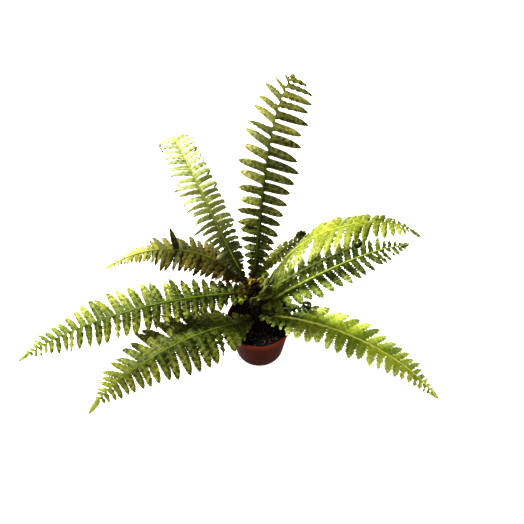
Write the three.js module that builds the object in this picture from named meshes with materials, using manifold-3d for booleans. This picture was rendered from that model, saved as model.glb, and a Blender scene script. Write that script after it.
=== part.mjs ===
// A young Brazilian tree fern in a round plastic nursery pot, standing on a flat surface.
// Millimetres, +Z up. The origin is the middle of the pot's underside. -Y is the front of the plant.
// Eight cut-leaved fronds and three young fronds with coiled tips grow from a short leaning trunk,
// and the trunk stands in a plain hole in the potting mix.
import * as THREE from "three";
import { mergeVertices } from "three/addons/utils/BufferGeometryUtils.js";
import Module from "manifold-3d";

// The pot: a 12 cm nursery pot with a stepped lip and a ring of drain holes.
const POT = {
  height: 100,
  rimRadius: 60,
  baseRadius: 45.5,
  wall: 1.4,
  lipHeight: 10,
  lipStep: 2.2,
  drainHoles: 8,
  drainRadius: 3.5,
  drainRing: 31,
  facets: 40,
};

// The potting mix stops a little below the rim and swells towards the trunk.
const MIX = { edgeHeight: 89, swell: 3, lumps: 1.2, rings: 5, seed: 31 };

// The trunk leans to the back left. Its foot is in the potting mix and its crown carries the fronds.
// Stubs are what old fronds left behind, and buds are fronds that haven't opened.
const TRUNK = {
  soilPoint: [0, 0, 90],
  crownPoint: [-12, 27, 170],
  depth: 24,
  footRadius: 12.5,
  waistRadius: 10.5,
  crownRadius: 13,
  crownHeight: 8,
  sides: 12,
  stubs: 20,
  stubLength: 8,
  stubRadius: 2.6,
  stubEndRadius: 0.9,
  stubSlope: 48,
  stubTurn: 137.5,
  stubsFrom: 0.1,
  stubsTo: 0.96,
  buds: [
    { heading: 250, size: 3.4 },
    { heading: 20, size: 2.8 },
    { heading: 140, size: 2.6 },
  ],
};

const GAP = 0.3; // the clearance of a piece that sits in a hole
const BLADE = 0.8; // leaf thickness
const SEAT_DEPTH = 7; // how far a stalk reaches into the trunk
const STRAIGHT = 20; // the straight foot of a stalk, seat included
const STALK_RADIUS = 2.2;
const RIB_TAPER = 0.68; // how much of its radius a midrib loses on its way to the tip
const RIDGE = 0.8; // how high a midrib's ridge is, against its half-width
const CLOSEST = 0.42; // how close the smallest lobes stand, against the largest
const HOOK = 0.1; // how far a lobe curves towards the tip, against its length
const NARROWING = 1 / 3; // how much less of its spacing the last lobe covers
const TIP_WIDEST = 0.35; // where the uncut leaf at the tip is widest, along itself
const TIP_WIDTH = 0.1; // its half-width there, against the frond's longest lobe
const STANDING = 55; // how steeply one stray lobe of a frond stands up
const VARIETY = { size: 0.14, lean: 18, droop: 12, twist: 26 }; // how much lobes differ

// What a frond is unless its own row says otherwise, from its seat on the trunk to its tip.
//   perch: its seat, 0 at the soil and 1 at the crown; bare: stalk from the trunk to the first lobe
//   length, heading, sweep: its length, the compass angle from +X towards +Y, and how far that turns
//   rise, fall: its slope at foot and tip; late, bend: how late slope and heading change
//   pairs, lobe: how many pairs of lobes, and the longest lobe
//   foot, full, taper, ending: lobes start at the foot share of that length, are longest from full to
//   taper along the frond, and then shrink, late and quickly where ending is high
//   fill: the share of its spacing that a lobe covers; terminal: the uncut share at the tip
//   leanFoot, leanTip, leanLate: the angle between lobe and midrib at foot and tip, and how late it
//   changes; rake, rakeTip: how much further right lobes lean to the tip than left ones, at either end
//   droop, sag: how lobes hang; roll: how much further the right lobes droop than the left ones
//   rightLobes, leftLobes: the length of each row; uneven: how much longer the left lobes are than
//   that at the foot, and the right ones shorter; standing: the pair whose right lobe stands up
const TYPICAL = {
  bare: 20, sweep: 0, late: 1, bend: 1,
  foot: 0.3, full: 0.5, taper: 0.6, ending: 2, fill: 0.72, terminal: 0.06,
  leanFoot: 98, leanTip: 55, leanLate: 2, rake: 0, rakeTip: 0, droop: 10, sag: 0.12, roll: 0,
  rightLobes: 1, leftLobes: 1, uneven: 0, standing: -1,
};

const FRONDS = [
  {
    name: "frond_back", colour: 0x3f5a1e, seed: 11, perch: 0.95, bare: 14,
    length: 384, heading: 80, sweep: -17.6, bend: 4, rise: 61.5, fall: -10, late: 2.2,
    pairs: 21, lobe: 54, foot: 0.2, full: 0.68, taper: 0.8, ending: 5, fill: 0.66, terminal: 0.03,
    leanTip: 62, rakeTip: -22, droop: 2, sag: 0.28,
  },
  {
    name: "frond_back_left", colour: 0x8fa63a, seed: 12, perch: 0.95,
    length: 329, heading: 134.5, sweep: -25, rise: 50.5, fall: -52, late: 2.9,
    pairs: 30, lobe: 48, foot: 0.15, full: 0.45, taper: 0.75, ending: 6, terminal: 0.045,
    leanFoot: 84, leanTip: 58, rake: -6, rakeTip: -6, droop: -16, sag: 0.6,
  },
  {
    name: "frond_left_high", colour: 0x5d6324, seed: 13, perch: 0.81,
    length: 272, heading: 141.5, sweep: 67.5, bend: 0.9, rise: 47, fall: -18, late: 0.68,
    pairs: 28, lobe: 44, foot: 0.15, full: 0.35, taper: 0.56, ending: 0.45, fill: 0.7,
    leanFoot: 88, leanTip: 60, leanLate: 1, rake: 8, droop: 16,
    rightLobes: 1.1, leftLobes: 0.88, standing: 13,
  },
  {
    name: "frond_left", colour: 0x4f7a1c, seed: 14, perch: 0.86, bare: 10,
    length: 427, heading: 194, rise: 18, fall: -37,
    pairs: 27, lobe: 46, foot: 0.45, full: 0.45, taper: 0.55, ending: 1.3, fill: 0.78,
    leanFoot: 106, leanTip: 60, leanLate: 0.7, rake: -1, rakeTip: 10, droop: 12, roll: -13,
    rightLobes: 1.2, leftLobes: 0.92,
  },
  {
    name: "frond_front_left", colour: 0x557d22, seed: 15, perch: 0.14, bare: 8,
    length: 352, heading: 210, rise: 30, fall: -53, late: 1.2,
    pairs: 21, lobe: 58, foot: 0.22, full: 0.34, taper: 0.4, ending: 1.3, fill: 0.82, terminal: 0.1,
    leanFoot: 102, leanTip: 67, leanLate: 0.7, rake: 5, rakeTip: 16, roll: -9, rightLobes: 1.22,
  },
  {
    name: "frond_front_right", colour: 0x6d9a22, seed: 16, perch: 0.26, bare: 8,
    length: 373, heading: -24, rise: 31, fall: -58, late: 1.1,
    pairs: 22, lobe: 50, foot: 0.4, full: 0.25, taper: 0.4, ending: 1.4, fill: 0.78,
    leanFoot: 101, leanTip: 61, leanLate: 0.6, rake: -14, rakeTip: -13, droop: 12,
    rightLobes: 0.7, leftLobes: 1.08,
  },
  {
    name: "frond_right", colour: 0x3f661c, seed: 17, perch: 0.45, bare: 12,
    length: 293.4, heading: 16.2, sweep: 8.4, rise: 29, fall: -28, late: 1.74,
    pairs: 18, lobe: 52, foot: 0.95, full: 0.2, taper: 0.3, ending: 1.3, fill: 0.76,
    leanFoot: 88, leanTip: 62, leanLate: 0.8, rake: 5, rakeTip: -2, droop: 2, roll: 3,
    rightLobes: 0.95, uneven: 0.3,
  },
  {
    name: "frond_right_high", colour: 0xa8c832, seed: 18, perch: 0.71,
    length: 420, heading: -22.3, sweep: 32.5, rise: 76.5, fall: -74, late: 2.46,
    pairs: 32, lobe: 50, foot: 0.4, full: 0.6, taper: 0.62, ending: 1.1, fill: 0.74,
    leanFoot: 92, leanTip: 85, leanLate: 1, rake: -16, rakeTip: -22, droop: 0, sag: 0.2, roll: -18,
    leftLobes: 0.8,
  },
];

// Young fronds, whose tips are still rolled up in a coil of coilTurns turns.
const CROZIERS = [
  {
    name: "crozier_back", colour: 0x8a8f34, seed: 21, perch: 0.99,
    length: 99, heading: 53, sweep: -35, rise: 40, fall: 6.5,
    pairs: 11, lobe: 15, coilRadius: 8.5, coilTurns: 1.4,
  },
  {
    name: "crozier_right", colour: 0x33501c, seed: 22, perch: 0.68,
    length: 184, heading: 17, rise: 37, fall: 14,
    pairs: 15, lobe: 9, foot: 0.4, coilRadius: 8, coilTurns: 1.4,
  },
  {
    name: "crozier_front", colour: 0x33501c, seed: 23, perch: 0.36,
    length: 74, heading: -9, rise: 18, fall: 26,
    pairs: 8, lobe: 8, coilRadius: 8, coilTurns: 1.4,
  },
];

const LEAVES = [...FRONDS, ...CROZIERS].map((leaf) => ({ ...TYPICAL, ...leaf }));

const wasm = await Module();
wasm.setup();

const radians = THREE.MathUtils.degToRad;
const vector = (x, y, z) => new THREE.Vector3(x, y, z);
const outward = (heading) => vector(Math.cos(radians(heading)), Math.sin(radians(heading)), 0);

// A repeatable stream of numbers from 0 to 1.
function draws(seed) {
  let state = seed;
  return () => {
    state = (state * 1664525 + 1013904223) % 4294967296;
    return state / 4294967296;
  };
}

// A closed mesh, as points and outward faces.
class Shell {
  points = [];
  faces = [];

  point(v) {
    this.points.push(v.x, v.y, v.z);
    return this.points.length / 3 - 1;
  }

  // A face with more than three corners is split from its first corner.
  face(corners, flip = false) {
    for (let i = 1; i + 1 < corners.length; i += 1) {
      const [a, b, c] = [corners[0], corners[i], corners[i + 1]];
      this.faces.push(...(flip ? [a, c, b] : [a, b, c]));
    }
  }

  geometry() {
    const made = new THREE.BufferGeometry();
    made.setAttribute("position", new THREE.Float32BufferAttribute(this.points, 3));
    made.setIndex(this.faces);
    made.computeVertexNormals();
    return made;
  }
}

function solidOf(geometry) {
  const bare = geometry.clone();
  bare.deleteAttribute("normal");
  bare.deleteAttribute("uv");
  const merged = mergeVertices(bare, 1e-3);
  return new wasm.Manifold(
    new wasm.Mesh({
      numProp: 3,
      vertProperties: merged.attributes.position.array,
      triVerts: new Uint32Array(merged.index.array),
    }),
  );
}

function geometryOf(solid) {
  const mesh = solid.getMesh();
  const made = new THREE.BufferGeometry();
  made.setAttribute("position", new THREE.BufferAttribute(new Float32Array(mesh.vertProperties), 3));
  made.setIndex(new THREE.BufferAttribute(new Uint32Array(mesh.triVerts), 1));
  made.computeVertexNormals();
  return made;
}

function named(name, geometry, colour, roughness) {
  const material = new THREE.MeshStandardMaterial({ color: colour, roughness, metalness: 0 });
  const mesh = new THREE.Mesh(geometry, material);
  mesh.name = name;
  return mesh;
}

// A turned body around +Z: the profile is [radius, height] from the bottom of its axis.
function turned(profile, facets) {
  const lathe = new THREE.LatheGeometry(
    profile.map(([r, z]) => new THREE.Vector2(r, z)),
    facets,
  );
  return lathe.applyMatrix4(new THREE.Matrix4().makeRotationX(Math.PI / 2));
}

const trunkFoot = vector(...TRUNK.soilPoint);
const trunkCrown = vector(...TRUNK.crownPoint);
const trunkAxis = trunkCrown.clone().sub(trunkFoot);
const trunkHeight = trunkAxis.length();
trunkAxis.normalize();

// The trunk is narrowest half way up.
function trunkRadius(share) {
  const straight = TRUNK.footRadius + (TRUNK.crownRadius - TRUNK.footRadius) * share;
  return straight - (straight - TRUNK.waistRadius) * Math.sin(Math.PI * share);
}

// The unit vector that climbs at a slope, in radians, above a level direction.
function climbing(out, slope) {
  return out.clone().multiplyScalar(Math.cos(slope)).add(vector(0, 0, Math.sin(slope)));
}

// Where a stalk starts, inside the trunk, and the way that it points.
function seatOf(leaf) {
  const out = outward(leaf.heading);
  const along = climbing(out, radians(leaf.rise));
  const start = trunkFoot.clone()
    .addScaledVector(trunkAxis, leaf.perch * trunkHeight)
    .addScaledVector(out, trunkRadius(leaf.perch))
    .addScaledVector(along, -SEAT_DEPTH);
  return { start, along };
}

// A place on a midrib: its share of the leaf, the distance travelled, and its three directions.
function placeOf(share, travelled, point, slope, heading) {
  const out = outward(heading);
  const along = climbing(out, slope);
  const side = vector(out.y, -out.x, 0);
  return { share, travelled, point: point.clone(), along, side, up: side.clone().cross(along) };
}

// The midrib as a row of places: straight in its seat, then curving.
function midrib(leaf) {
  const steps = 80;
  const slopeAt = (share) => radians(leaf.rise + (leaf.fall - leaf.rise) * share ** leaf.late);
  const headingAt = (share) => leaf.heading + leaf.sweep * share ** leaf.bend;
  const { start, along } = seatOf(leaf);
  const at = start.clone();
  const places = [placeOf(0, 0, at, slopeAt(0), headingAt(0))];
  at.addScaledVector(along, STRAIGHT);
  places.push(placeOf(0, STRAIGHT, at, slopeAt(0), headingAt(0)));
  for (let i = 0; i < steps; i += 1) {
    const middle = (i + 0.5) / steps;
    at.addScaledVector(climbing(outward(headingAt(middle)), slopeAt(middle)), leaf.length / steps);
    const share = (i + 1) / steps;
    places.push(placeOf(share, STRAIGHT + share * leaf.length, at, slopeAt(share), headingAt(share)));
  }
  return places;
}

// The rolled tip of a young frond: it turns up and back over itself in a narrowing coil.
function coil(leaf, last) {
  const stepsPerTurn = 12;
  const tightening = 0.62;
  const steps = Math.round(leaf.coilTurns * stepsPerTurn);
  const turn = (2 * Math.PI) / stepsPerTurn;
  const heading = leaf.heading + leaf.sweep;
  const at = last.point.clone();
  const places = [];
  let slope = radians(leaf.fall);
  for (let i = 0; i < steps; i += 1) {
    const radius = leaf.coilRadius * (1 - (tightening * (i + 0.5)) / steps);
    at.addScaledVector(climbing(outward(heading), slope + turn / 2), radius * turn);
    slope += turn;
    places.push(placeOf(1, 0, at, slope, heading));
  }
  return places;
}

// The place at a distance along the midrib, between two rows of the list.
function placeAt(places, travelled) {
  let i = 1;
  while (i < places.length - 1 && places[i].travelled < travelled) i += 1;
  const [a, b] = [places[i - 1], places[i]];
  const t = (travelled - a.travelled) / (b.travelled - a.travelled);
  const mixed = (key) => a[key].clone().lerp(b[key], t);
  return {
    share: a.share + (b.share - a.share) * t,
    point: mixed("point"),
    along: mixed("along").normalize(),
    side: mixed("side").normalize(),
    up: mixed("up").normalize(),
  };
}

// How long the lobes are along a frond, as a share of the longest. The last are a seventh of it.
function lobeShare(leaf, share) {
  const smallest = 0.15;
  const growing = Math.sin((Math.PI / 2) * Math.min(1, share / leaf.full)) ** 1.3;
  const past = Math.max(0, (share - leaf.taper) / (1 - leaf.taper));
  return (leaf.foot + (1 - leaf.foot) * growing) * (1 - (1 - smallest) * past ** leaf.ending);
}

// Stations along the midrib where one lobe ends and the next begins: small lobes stand closer.
function stationsOf(leaf) {
  const uncut = leaf.coilTurns ? 0 : leaf.terminal;
  const stations = [SEAT_DEPTH + leaf.bare];
  const usable = STRAIGHT + leaf.length * (1 - uncut) - stations[0];
  const steps = Array.from({ length: leaf.pairs }, (_, i) => (
    CLOSEST + (1 - CLOSEST) * lobeShare(leaf, (i + 0.5) / leaf.pairs)
  ));
  const total = steps.reduce((a, b) => a + b, 0);
  for (const step of steps) stations.push(stations.at(-1) + (step / total) * usable);
  return stations;
}

// A ring of the midrib: a ridge above and below, and an upright edge on each side. The places are
// those of the ridges and of the two edges, which stand apart where lobes alternate.
function addRing(shell, [middle, right, left], halfWidth) {
  const at = (place, sideways, upward) => shell.point(
    place.point.clone().addScaledVector(place.side, sideways).addScaledVector(place.up, upward),
  );
  const edge = BLADE / 2;
  return {
    top: at(middle, 0, halfWidth * RIDGE),
    right: [at(right, halfWidth, edge), at(right, halfWidth, -edge)],
    bottom: at(middle, 0, -halfWidth * RIDGE),
    left: [at(left, -halfWidth, edge), at(left, -halfWidth, -edge)],
  };
}

// The four faces of the midrib between two rings.
function joinRings(shell, a, b) {
  shell.face([a.top, a.right[0], b.right[0], b.top]);
  shell.face([a.left[0], a.top, b.top, b.left[0]]);
  shell.face([a.bottom, b.bottom, b.right[1], a.right[1]]);
  shell.face([a.left[1], b.left[1], b.bottom, a.bottom]);
}

// A stretch of midrib with no lobes has walls at its sides.
function joinBare(shell, a, b) {
  joinRings(shell, a, b);
  shell.face([a.right[1], b.right[1], b.right[0], a.right[0]]);
  shell.face([a.left[1], b.left[1], b.left[0], a.left[0]], true);
}

// Rows of a lobe, as shares of its length and of its full width. Lobes over the LONG share of a
// frond's longest one have a row more.
const LONG = 0.92;
const LONG_ROWS = [[0.13, 1], [0.55, 0.98], [0.84, 0.6]];
const SHORT_ROWS = [[0.2, 1], [0.68, 0.86]];
const CURLED_ROWS = [[0.3, 0.9]];

function rowsFor(leaf, length) {
  if (leaf.coilTurns) return CURLED_ROWS;
  return length > LONG * leaf.lobe ? LONG_ROWS : SHORT_ROWS;
}

// One lobe, rooted on the side edge between rings a and b. Both faces are split into like triangles.
function addLobe(shell, place, a, b, key, lobe) {
  const hand = key === "right" ? 1 : -1;
  const flip = key === "left";
  const lean = radians(lobe.lean);
  const droop = radians(lobe.droop);
  const out = place.along.clone().multiplyScalar(Math.cos(lean))
    .addScaledVector(place.side, hand * Math.sin(lean))
    .multiplyScalar(Math.cos(droop))
    .addScaledVector(place.up, -Math.sin(droop));
  const across = place.along.clone().multiplyScalar(Math.sin(lean))
    .addScaledVector(place.side, -hand * Math.cos(lean))
    .applyAxisAngle(out, hand * radians(lobe.twist));
  const root = place.point.clone().addScaledVector(place.side, hand * lobe.rootOffset);
  const bending = place.along.clone().multiplyScalar(HOOK).add(vector(0, 0, -lobe.sag));
  const pairAt = (t, sideways) => {
    const normal = across.clone()
      .cross(out.clone().addScaledVector(bending, 2 * t))
      .multiplyScalar(-hand)
      .normalize();
    const middle = root.clone()
      .addScaledVector(out, lobe.length * t)
      .addScaledVector(bending, lobe.length * t * t)
      .addScaledVector(across, sideways);
    return [BLADE / 2, -BLADE / 2].map((lift) => shell.point(middle.clone().addScaledVector(normal, lift)));
  };
  let [near, far] = [a[key], b[key]];
  for (const [t, width] of lobe.rows) {
    const half = (lobe.width / 2) * width;
    const [nextNear, nextFar] = [pairAt(t, -half), pairAt(t, half)];
    shell.face([near[0], nextNear[0], nextFar[0], far[0]], flip);
    shell.face([near[1], nextFar[1], nextNear[1]], flip);
    shell.face([near[1], far[1], nextFar[1]], flip);
    shell.face([near[0], near[1], nextNear[1], nextNear[0]], flip);
    shell.face([far[0], nextFar[0], nextFar[1], far[1]], flip);
    [near, far] = [nextNear, nextFar];
  }
  const tip = pairAt(1, 0);
  shell.face([near[0], tip[0], far[0]], flip);
  shell.face([near[1], far[1], tip[1]], flip);
  shell.face([near[0], near[1], tip[1], tip[0]], flip);
  shell.face([far[0], tip[0], tip[1], far[1]], flip);
}

// The narrow leaf at the tip of an open frond, widest near its foot.
function addTip(shell, ring, last) {
  const tip = [BLADE / 2, -BLADE / 2].map((lift) => (
    shell.point(last.point.clone().addScaledVector(last.up, lift))
  ));
  shell.face([ring.top, ring.right[0], tip[0]]);
  shell.face([ring.left[0], ring.top, tip[0]]);
  shell.face([ring.bottom, tip[1], ring.right[1]]);
  shell.face([ring.left[1], tip[1], ring.bottom]);
  shell.face([ring.right[1], tip[1], tip[0], ring.right[0]]);
  shell.face([ring.left[0], tip[0], tip[1], ring.left[1]]);
}

// A whole frond: stalk, midrib and two rows of lobes cut to the midrib, in one closed body.
function frondGeometry(leaf) {
  const shell = new Shell();
  const places = midrib(leaf);
  const stations = stationsOf(leaf);
  const draw = draws(leaf.seed);
  const ribRadius = (share) => STALK_RADIUS * (1 - RIB_TAPER * share);
  const ringAt = (travelled, skew) => {
    const three = [0, skew, -skew].map((shift) => placeAt(places, travelled + shift));
    return addRing(shell, three, ribRadius(three[0].share));
  };
  let ring = ringAt(0, 0);
  const bareTo = (next) => {
    joinBare(shell, ring, next);
    ring = next;
  };
  const pairTo = (next, rightPlace, leftPlace, lobe) => {
    joinRings(shell, ring, next);
    const rows = [["right", rightPlace, leaf.rightLobes], ["left", leftPlace, leaf.leftLobes]];
    for (const [key, place, side] of rows) {
      const [size, turn, hang, twist] = [draw() - 0.5, draw() - 0.5, draw() - 0.5, draw() - 0.5];
      const hand = key === "right" ? 1 : -1;
      const stands = hand > 0 && lobe.index === leaf.standing;
      const lean = lobe.lean - hand * lobe.rake;
      addLobe(shell, place, ring, next, key, {
        ...lobe,
        length: lobe.length * side * (1 - hand * lobe.uneven) * (1 + VARIETY.size * size),
        width: lobe.room * Math.sin(radians(lean)),
        lean: lean + VARIETY.lean * (1 - leaf.fill) * turn,
        droop: stands ? -STANDING : leaf.droop + hand * leaf.roll + VARIETY.droop * hang,
        twist: VARIETY.twist * twist,
        sag: leaf.sag,
        rootOffset: ribRadius(place.share),
      });
    }
    ring = next;
  };

  shell.face([ring.top, ring.left[0], ring.left[1], ring.bottom, ring.right[1], ring.right[0]]);
  const last = leaf.pairs;
  const quarterAt = (i) => (stations[Math.min(i + 1, last)] - stations[Math.max(i - 1, 0)]) / 8;
  bareTo(ringAt(stations[0], quarterAt(0)));
  for (let i = 0; i < leaf.pairs; i += 1) {
    const share = (i + 0.5) / leaf.pairs;
    const length = leaf.lobe * lobeShare(leaf, leaf.coilTurns ? share * leaf.taper : share);
    const middle = (stations[i] + stations[i + 1]) / 2;
    const quarter = (quarterAt(i) + quarterAt(i + 1)) / 2;
    const lean = leaf.leanFoot - (leaf.leanFoot - leaf.leanTip) * share ** leaf.leanLate;
    const rake = leaf.rake + (leaf.rakeTip - leaf.rake) * share;
    const uneven = leaf.uneven * (1 - share) ** 2;
    const room = (stations[i + 1] - stations[i]) * leaf.fill * (1 - NARROWING * share ** 3);
    pairTo(
      ringAt(stations[i + 1], quarterAt(i + 1)),
      placeAt(places, middle + quarter),
      placeAt(places, middle - quarter),
      { index: i, length, uneven, room, lean, rake, rows: rowsFor(leaf, length) },
    );
  }

  if (!leaf.coilTurns) {
    const whole = STRAIGHT + leaf.length;
    const widest = placeAt(places, stations[last] + (whole - stations[last]) * TIP_WIDEST);
    bareTo(addRing(shell, [widest, widest, widest], leaf.lobe * TIP_WIDTH));
    addTip(shell, ring, placeAt(places, whole));
    return shell.geometry();
  }

  // Every second step of the coil has a pair of small lobes, and they shrink inwards.
  const turns = coil(leaf, places.at(-1));
  turns.forEach((place, i) => {
    const next = addRing(shell, [place, place, place], ribRadius(1));
    if (i % 2 === 0) {
      bareTo(next);
      return;
    }
    const left = 1 - i / turns.length;
    const length = leaf.lobe * (0.25 + 0.35 * left);
    const room = leaf.coilRadius * (0.2 + 0.3 * left);
    const curled = { length, uneven: 0, room, lean: 80, rake: 0, rows: CURLED_ROWS };
    pairTo(next, place, place, curled);
  });
  shell.face([ring.top, ring.right[0], ring.right[1], ring.bottom, ring.left[1], ring.left[0]]);
  return shell.geometry();
}

// The pot's outer radius below the lip, at a height.
function wallRadius(z) {
  const top = POT.rimRadius - POT.lipStep;
  return POT.baseRadius + ((top - POT.baseRadius) * z) / POT.height;
}

function potGeometry() {
  const { height, wall, lipHeight, rimRadius, baseRadius, lipStep } = POT;
  const lipFoot = height - lipHeight;
  const profile = [
    [0, 0],
    [baseRadius - 2, 0],
    [baseRadius, 2],
    [wallRadius(lipFoot), lipFoot],
    [rimRadius - 0.8, lipFoot],
    [rimRadius, height - 1],
    [rimRadius - 1, height],
    [rimRadius - lipStep - wall + 0.6, height],
    [wallRadius(height) - wall, height - 1.5],
    [wallRadius(wall + 2) - wall, wall + 2],
    [baseRadius - wall - 2.5, wall],
    [0, wall],
  ];
  let pot = solidOf(turned(profile, POT.facets));
  for (let i = 0; i < POT.drainHoles; i += 1) {
    const middle = outward((360 * (i + 0.5)) / POT.drainHoles).multiplyScalar(POT.drainRing);
    const drill = new THREE.CylinderGeometry(POT.drainRadius, POT.drainRadius, 3 * wall, 6)
      .rotateX(Math.PI / 2)
      .translate(middle.x, middle.y, wall / 2);
    pot = pot.subtract(solidOf(drill));
  }
  return geometryOf(pot);
}

// The trunk's own turned body, grown all over by a margin so that it can also cut its hole.
function columnGeometry(margin) {
  const profile = [
    [0, -TRUNK.depth - margin],
    [TRUNK.footRadius * 0.7 + margin, -TRUNK.depth - margin],
    [TRUNK.footRadius * 0.85 + margin, -TRUNK.depth * 0.7],
    ...[0, 0.3, 0.6, 0.85, 1].map((share) => [trunkRadius(share) + margin, share * trunkHeight]),
    [TRUNK.crownRadius * 0.62 + margin, trunkHeight + TRUNK.crownHeight * 0.75],
    [0, trunkHeight + TRUNK.crownHeight + margin],
  ];
  const lean = new THREE.Quaternion().setFromUnitVectors(vector(0, 0, 1), trunkAxis);
  return turned(profile, TRUNK.sides)
    .applyQuaternion(lean)
    .translate(trunkFoot.x, trunkFoot.y, trunkFoot.z);
}

// A peg that points along a direction: a stub on the trunk, or the hole that a stalk stands in.
function peg(start, along, length, footRadius, endRadius, sides) {
  const turn = new THREE.Quaternion().setFromUnitVectors(vector(0, 1, 0), along);
  return new THREE.CylinderGeometry(endRadius, footRadius, length, sides)
    .translate(0, length / 2, 0)
    .applyQuaternion(turn)
    .translate(start.x, start.y, start.z);
}

// Stubs wind up the trunk and point up and out. A stub too near a stalk is left out.
function stubPegs() {
  const { stubs, stubLength, stubRadius, stubEndRadius, stubSlope, stubTurn, stubsFrom, stubsTo } = TRUNK;
  const clear = 9;
  const rooted = 2.5;
  const mouths = LEAVES.map((leaf) => {
    const { start, along } = seatOf(leaf);
    return start.addScaledVector(along, SEAT_DEPTH);
  });
  const pegs = [];
  for (let i = 0; i < stubs; i += 1) {
    const share = stubsFrom + ((stubsTo - stubsFrom) * i) / stubs;
    const out = outward(i * stubTurn);
    const start = trunkFoot.clone()
      .addScaledVector(trunkAxis, share * trunkHeight)
      .addScaledVector(out, trunkRadius(share) - rooted);
    if (mouths.some((mouth) => mouth.distanceTo(start) < clear)) continue;
    const along = climbing(out, radians(stubSlope));
    pegs.push(peg(start, along, stubLength, stubRadius, stubEndRadius, 4));
  }
  return pegs;
}

// Tight coiled buds stand on the crown.
function budRings() {
  return TRUNK.buds.map(({ heading, size }) => {
    const middle = trunkCrown.clone()
      .addScaledVector(outward(heading), 4.4)
      .addScaledVector(trunkAxis, TRUNK.crownHeight + size * 0.6);
    return new THREE.TorusGeometry(size, size * 0.72, 5, 8)
      .rotateX(Math.PI / 2)
      .rotateZ(radians(heading))
      .translate(middle.x, middle.y, middle.z);
  });
}

// Each stalk stands in a hole of its own in the trunk.
function stalkHoles() {
  const radius = STALK_RADIUS + GAP + 0.2;
  return LEAVES.map((leaf) => {
    const { start, along } = seatOf(leaf);
    const foot = start.clone().addScaledVector(along, -GAP);
    return peg(foot, along, STRAIGHT + GAP, radius, radius, 8);
  });
}

function trunkGeometry() {
  let trunk = solidOf(columnGeometry(0));
  for (const grown of [...stubPegs(), ...budRings()]) trunk = trunk.add(solidOf(grown));
  for (const hole of stalkHoles()) trunk = trunk.subtract(solidOf(hole));
  return geometryOf(trunk);
}

// Potting mix: it follows the inside of the pot, and its top is lumpy.
function mixGeometry() {
  const shell = new Shell();
  const floor = POT.wall + GAP;
  const corner = 3;
  const draw = draws(MIX.seed);
  const inner = (z) => wallRadius(z) - POT.wall - GAP;
  const ring = (radius, height) => Array.from({ length: POT.facets }, (_, i) => {
    const edge = outward((360 * i) / POT.facets).multiplyScalar(radius);
    return shell.point(edge.setZ(height()));
  });
  const join = (a, b) => a.forEach((_, i) => {
    const next = (i + 1) % a.length;
    shell.face([a[i], a[next], b[next], b[i]]);
  });
  const under = shell.point(vector(0, 0, floor));
  const foot = ring(inner(floor) - corner, () => floor);
  foot.forEach((_, i) => shell.face([under, foot[(i + 1) % foot.length], foot[i]]));
  let last = ring(inner(floor + corner), () => floor + corner);
  join(foot, last);
  const edge = inner(MIX.edgeHeight);
  for (let i = 0; i < MIX.rings; i += 1) {
    const inward = i / MIX.rings;
    const lumps = i > 0 ? MIX.lumps : 0;
    const next = ring(edge * (1 - inward), () => (
      MIX.edgeHeight + MIX.swell * inward + lumps * (2 * draw() - 1)
    ));
    join(last, next);
    last = next;
  }
  const middle = shell.point(vector(0, 0, MIX.edgeHeight + MIX.swell));
  last.forEach((_, i) => shell.face([middle, last[i], last[(i + 1) % last.length]]));
  return geometryOf(solidOf(shell.geometry()).subtract(solidOf(columnGeometry(GAP))));
}

const fern = new THREE.Group();
fern.add(named("pot", potGeometry(), 0x7a3226, 0.5));
fern.add(named("potting_mix", mixGeometry(), 0x1d1712, 0.95));
fern.add(named("trunk", trunkGeometry(), 0x2b1d14, 0.9));
for (const leaf of LEAVES) {
  fern.add(named(leaf.name, frondGeometry(leaf), leaf.colour, 0.55));
}

export default fern;
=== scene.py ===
# %% [markdown]
# # A young tree fern in a nursery pot
#
# The plant is about 0.75 m across. Eight cut-leaved fronds and three young coiled ones grow from a
# short scaly trunk, which stands in potting mix in a 12 cm plastic pot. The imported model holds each
# of these pieces at its real size, as a coarse solid. This script loads those solids as a fixed
# frame and makes a finer piece over each one: lobes with toothed and crimped margins, a scaly
# trunk, crumbly mix and a smooth moulded pot. Lengths are in metres and angles in degrees.

# %% Load the frame
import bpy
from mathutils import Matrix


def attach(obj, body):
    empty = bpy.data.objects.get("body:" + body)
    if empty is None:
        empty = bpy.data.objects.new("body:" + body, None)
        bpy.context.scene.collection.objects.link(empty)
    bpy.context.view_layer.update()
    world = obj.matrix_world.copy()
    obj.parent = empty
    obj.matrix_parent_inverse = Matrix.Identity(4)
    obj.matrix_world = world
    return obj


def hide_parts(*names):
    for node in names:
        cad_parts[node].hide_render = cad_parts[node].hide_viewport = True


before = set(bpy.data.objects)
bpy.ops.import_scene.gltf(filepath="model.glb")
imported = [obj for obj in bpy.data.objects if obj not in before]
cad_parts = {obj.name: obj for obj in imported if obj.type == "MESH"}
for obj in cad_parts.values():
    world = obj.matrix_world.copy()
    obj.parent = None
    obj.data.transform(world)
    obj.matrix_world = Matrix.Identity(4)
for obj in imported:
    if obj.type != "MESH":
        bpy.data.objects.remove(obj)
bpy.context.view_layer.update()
print("solids in the frame:", len(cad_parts))

# %% The modules that the lesson uses
from math import cos, pi, radians, sin
from types import SimpleNamespace

import bmesh
import bpy
import numpy as np
from mathutils import Vector, noise

# %% [markdown]
# ## The camera
#
# The photograph looks down on the plant from the front, steeply enough to see into the pot. The
# ellipse of a round rim tells how steeply: here 56 degrees. Its size, against the pot's real
# width, gives the distance. A camera that is aimed by these numbers stays easy to read.

# %% Aim the camera
LOOK_AT = Vector((0.005, 0.087, 0.158))
LOOK_DOWN = 56
DISTANCE = 1.4
SENSOR_MM, LENS_MM = 36, 52.6

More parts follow.
